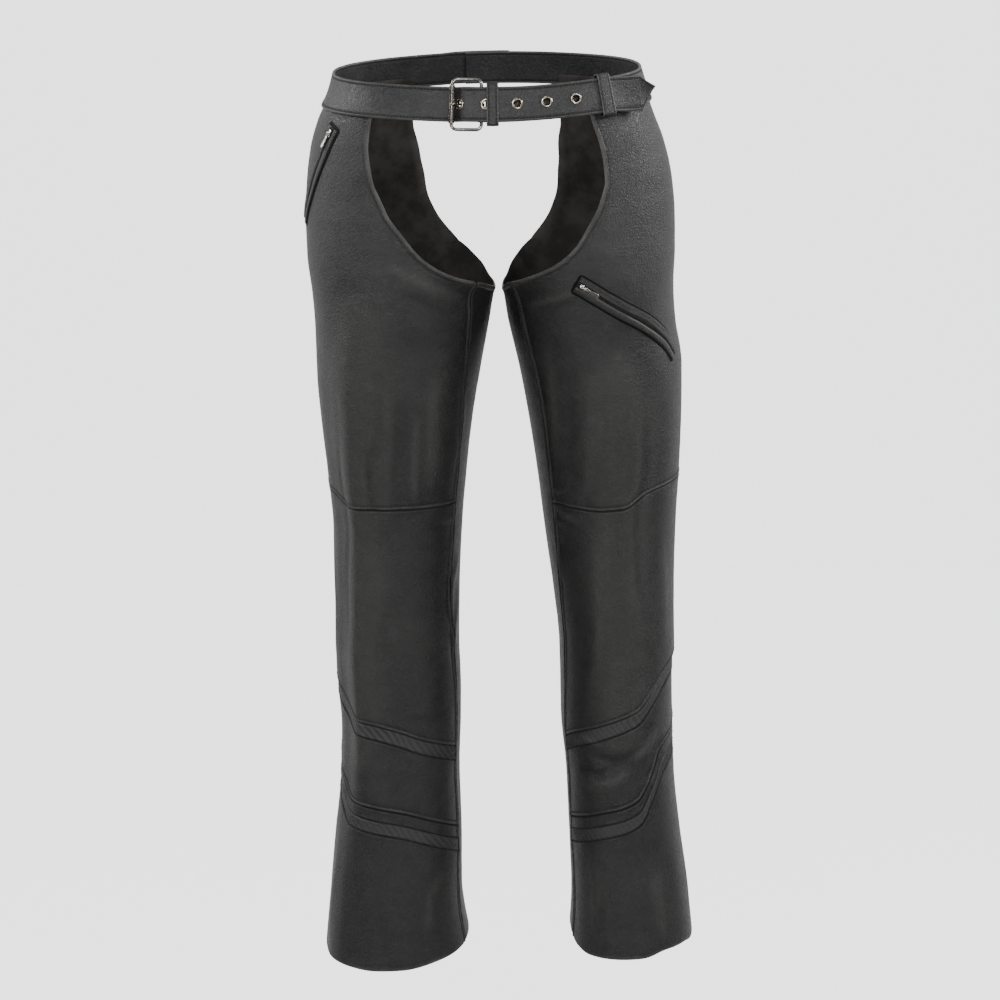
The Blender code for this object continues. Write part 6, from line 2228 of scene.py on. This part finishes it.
        # Painted shade, with patina, darkens each eyelet inside its bore
        bore_shade = np.broadcast_to(np.clip((4.7 * MM - radius) / (0.9 * MM), 0.0, 1.0),
                               (len(turn), radius.shape[1])).ravel()
        aside = radius * np.cos(turn)
        for number, (centre, half) in enumerate(EYELETS, start=1):
            arcs = (centre + np.array([-half, half])) * MM
            lifts = self.tail_lift(arcs)
            run = unit(np.array([arcs[1] - arcs[0], lifts[1] - lifts[0]]))
            grid = self.form.place(centre * MM + aside * run[0] - depth * run[1],
                                   radius * np.sin(turn),
                                   float(np.mean(lifts)) + aside * run[1] + depth * run[0])
            piece = make_piece(f"eyelet_ring_{number}", grid.reshape(-1, 3),
                               ring_faces(len(turn), grid.shape[1], True), [finishes.brass],
                               masks={"seam": bore_shade})
            fit(piece, f"eyelet_{number}")

    def build(self, finishes: Finishes) -> None:
        """Build the belt."""
        self.build_tail(finishes)
        self.build_buckle_strap(finishes)
        for keeper in KEEPERS:
            self.build_keeper(*keeper, finishes)
        self.build_frame(finishes)
        self.build_roller(finishes)
        self.build_prong(finishes)
        self.build_eyelets(finishes)
        self.sewing.build(finishes.thread)


# --- Studio ------------------------------------------------------------------------------


@dataclass(frozen=True)
class SoftBox:
    """A rectangular light: where it stands, where it points, its size and power."""

    name: str
    at: tuple[float, float, float]
    towards: tuple[float, float, float]
    width: float
    height: float
    power: float


@dataclass(frozen=True)
class Studio:
    """A pale floor and backdrop, soft lights and the camera."""

    camera_at: tuple[float, float, float] = (0.0027, -3.23, 0.287)
    pitch: float = 13.2
    roll: float = -1.3
    lens: float = 103.93
    sensor: float = 36.0
    floor: float = -1.45
    glow: float = 2.36
    surround: float = 0.17
    spill: float = 0.30
    boxes: tuple[SoftBox, ...] = (
        SoftBox("left_wall", (-2.3, 0.42, 0.95), (-0.2, 0.0, -0.15), 0.8, 1.0, 46.0),
        SoftBox("right_wall", (2.3, 0.42, 0.95), (0.2, 0.0, -0.10), 0.8, 1.0, 56.0),
        SoftBox("right_hip_box", (1.7, -1.6, 0.95), (0.15, 0.0, -0.05), 0.5, 0.5, 15.0),
        SoftBox("front_box", (-0.6, -4.1, 1.9), (0.0, 0.0, -0.1), 1.3, 1.1, 90.0),
        SoftBox("low_left", (-1.5, -3.3, -0.40), (0.0, 0.0, -0.4), 0.40, 1.1, 34.0),
        SoftBox("low_right", (1.5, -3.3, -0.40), (0.0, 0.0, -0.4), 0.40, 1.1, 32.0),
        SoftBox("top_box", (0.0, -1.0, 2.6), (0.0, 0.0, -0.1), 1.6, 1.0, 14.0),
    )

    def build_sweep(self) -> None:
        """A floor that curves up into a wall behind, wide enough for every view."""
        turn = np.linspace(0.0, math.pi / 2, 24)
        radius, front, bend, half_width, top = 1.6, -9.0, 3.4, 14.0, 9.0
        y = np.concatenate([[front, bend], bend + radius * np.sin(turn), [bend + radius]])
        z = np.concatenate([[0.0, 0.0], radius * (1 - np.cos(turn)), [top]]) + self.floor
        grid = stack(np.array([-half_width, half_width]), y[:, None], z[:, None])
        number = np.arange(len(y) * 2).reshape(len(y), 2)
        faces = cells_of(number).reshape(-1, 4)
        paper = Paper("pale_paper", (0.30, 0.30, 0.30), self.glow, self.spill).build()
        make_piece("paper_sweep", grid.reshape(-1, 3), faces, [paper])

    def build_lights(self) -> None:
        """Soft boxes and an even pale surround."""
        for box in self.boxes:
            light = bpy.data.lights.new(box.name, "AREA")
            light.shape = "RECTANGLE"
            light.size, light.size_y, light.energy = box.width, box.height, box.power
            lamp = bpy.data.objects.new(box.name, light)
            bpy.context.scene.collection.objects.link(lamp)
            aim = Vector(box.towards) - Vector(box.at)
            lamp.matrix_world = (Matrix.Translation(box.at)
                                 @ aim.to_track_quat("-Z", "Y").to_matrix().to_4x4())
        world = bpy.data.worlds.new("even_surround")
        world.use_nodes = True
        w = Wiring(world.node_tree)
        strength = w.mad(w.seen(), self.glow - self.surround, self.surround)
        w.feed_all(world.node_tree.nodes["Background"],
                   {"Strength": strength, "Color": WHITE})
        bpy.context.scene.world = world

    def build_camera(self) -> None:
        """The camera, a little above the belt and far enough for a long lens."""
        data = bpy.data.cameras.new("front_camera")
        data.lens, data.sensor_width = self.lens, self.sensor
        camera = bpy.data.objects.new("front_camera", data)
        bpy.context.scene.collection.objects.link(camera)
        turned = (Matrix.Rotation(math.radians(90.0 - self.pitch), 4, "X")
                  @ Matrix.Rotation(math.radians(self.roll), 4, "Z"))
        camera.matrix_world = Matrix.Translation(self.camera_at) @ turned
        bpy.context.scene.camera = camera

    def build(self) -> None:
        """Build the studio."""
        self.build_camera()
        self.build_sweep()
        self.build_lights()


def main() -> None:
    """Build the studio, the legs, the pockets and the belt, in that order."""
    logging.basicConfig(level=logging.INFO, format="%(name)s: %(message)s")
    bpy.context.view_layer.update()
    Studio().build()
    finishes = Finishes()
    for leg in Leg:
        LegPanels(leg).build(finishes)
    ZipPocket("thigh_pocket", Leg.LEFT, "thigh_pull", THIGH_POCKET).build(finishes)
    ZipPocket("hip_pocket", Leg.RIGHT, "hip_pull", HIP_POCKET).build(finishes)
    Belt().build(finishes)


if __name__ == "__main__":
    main()
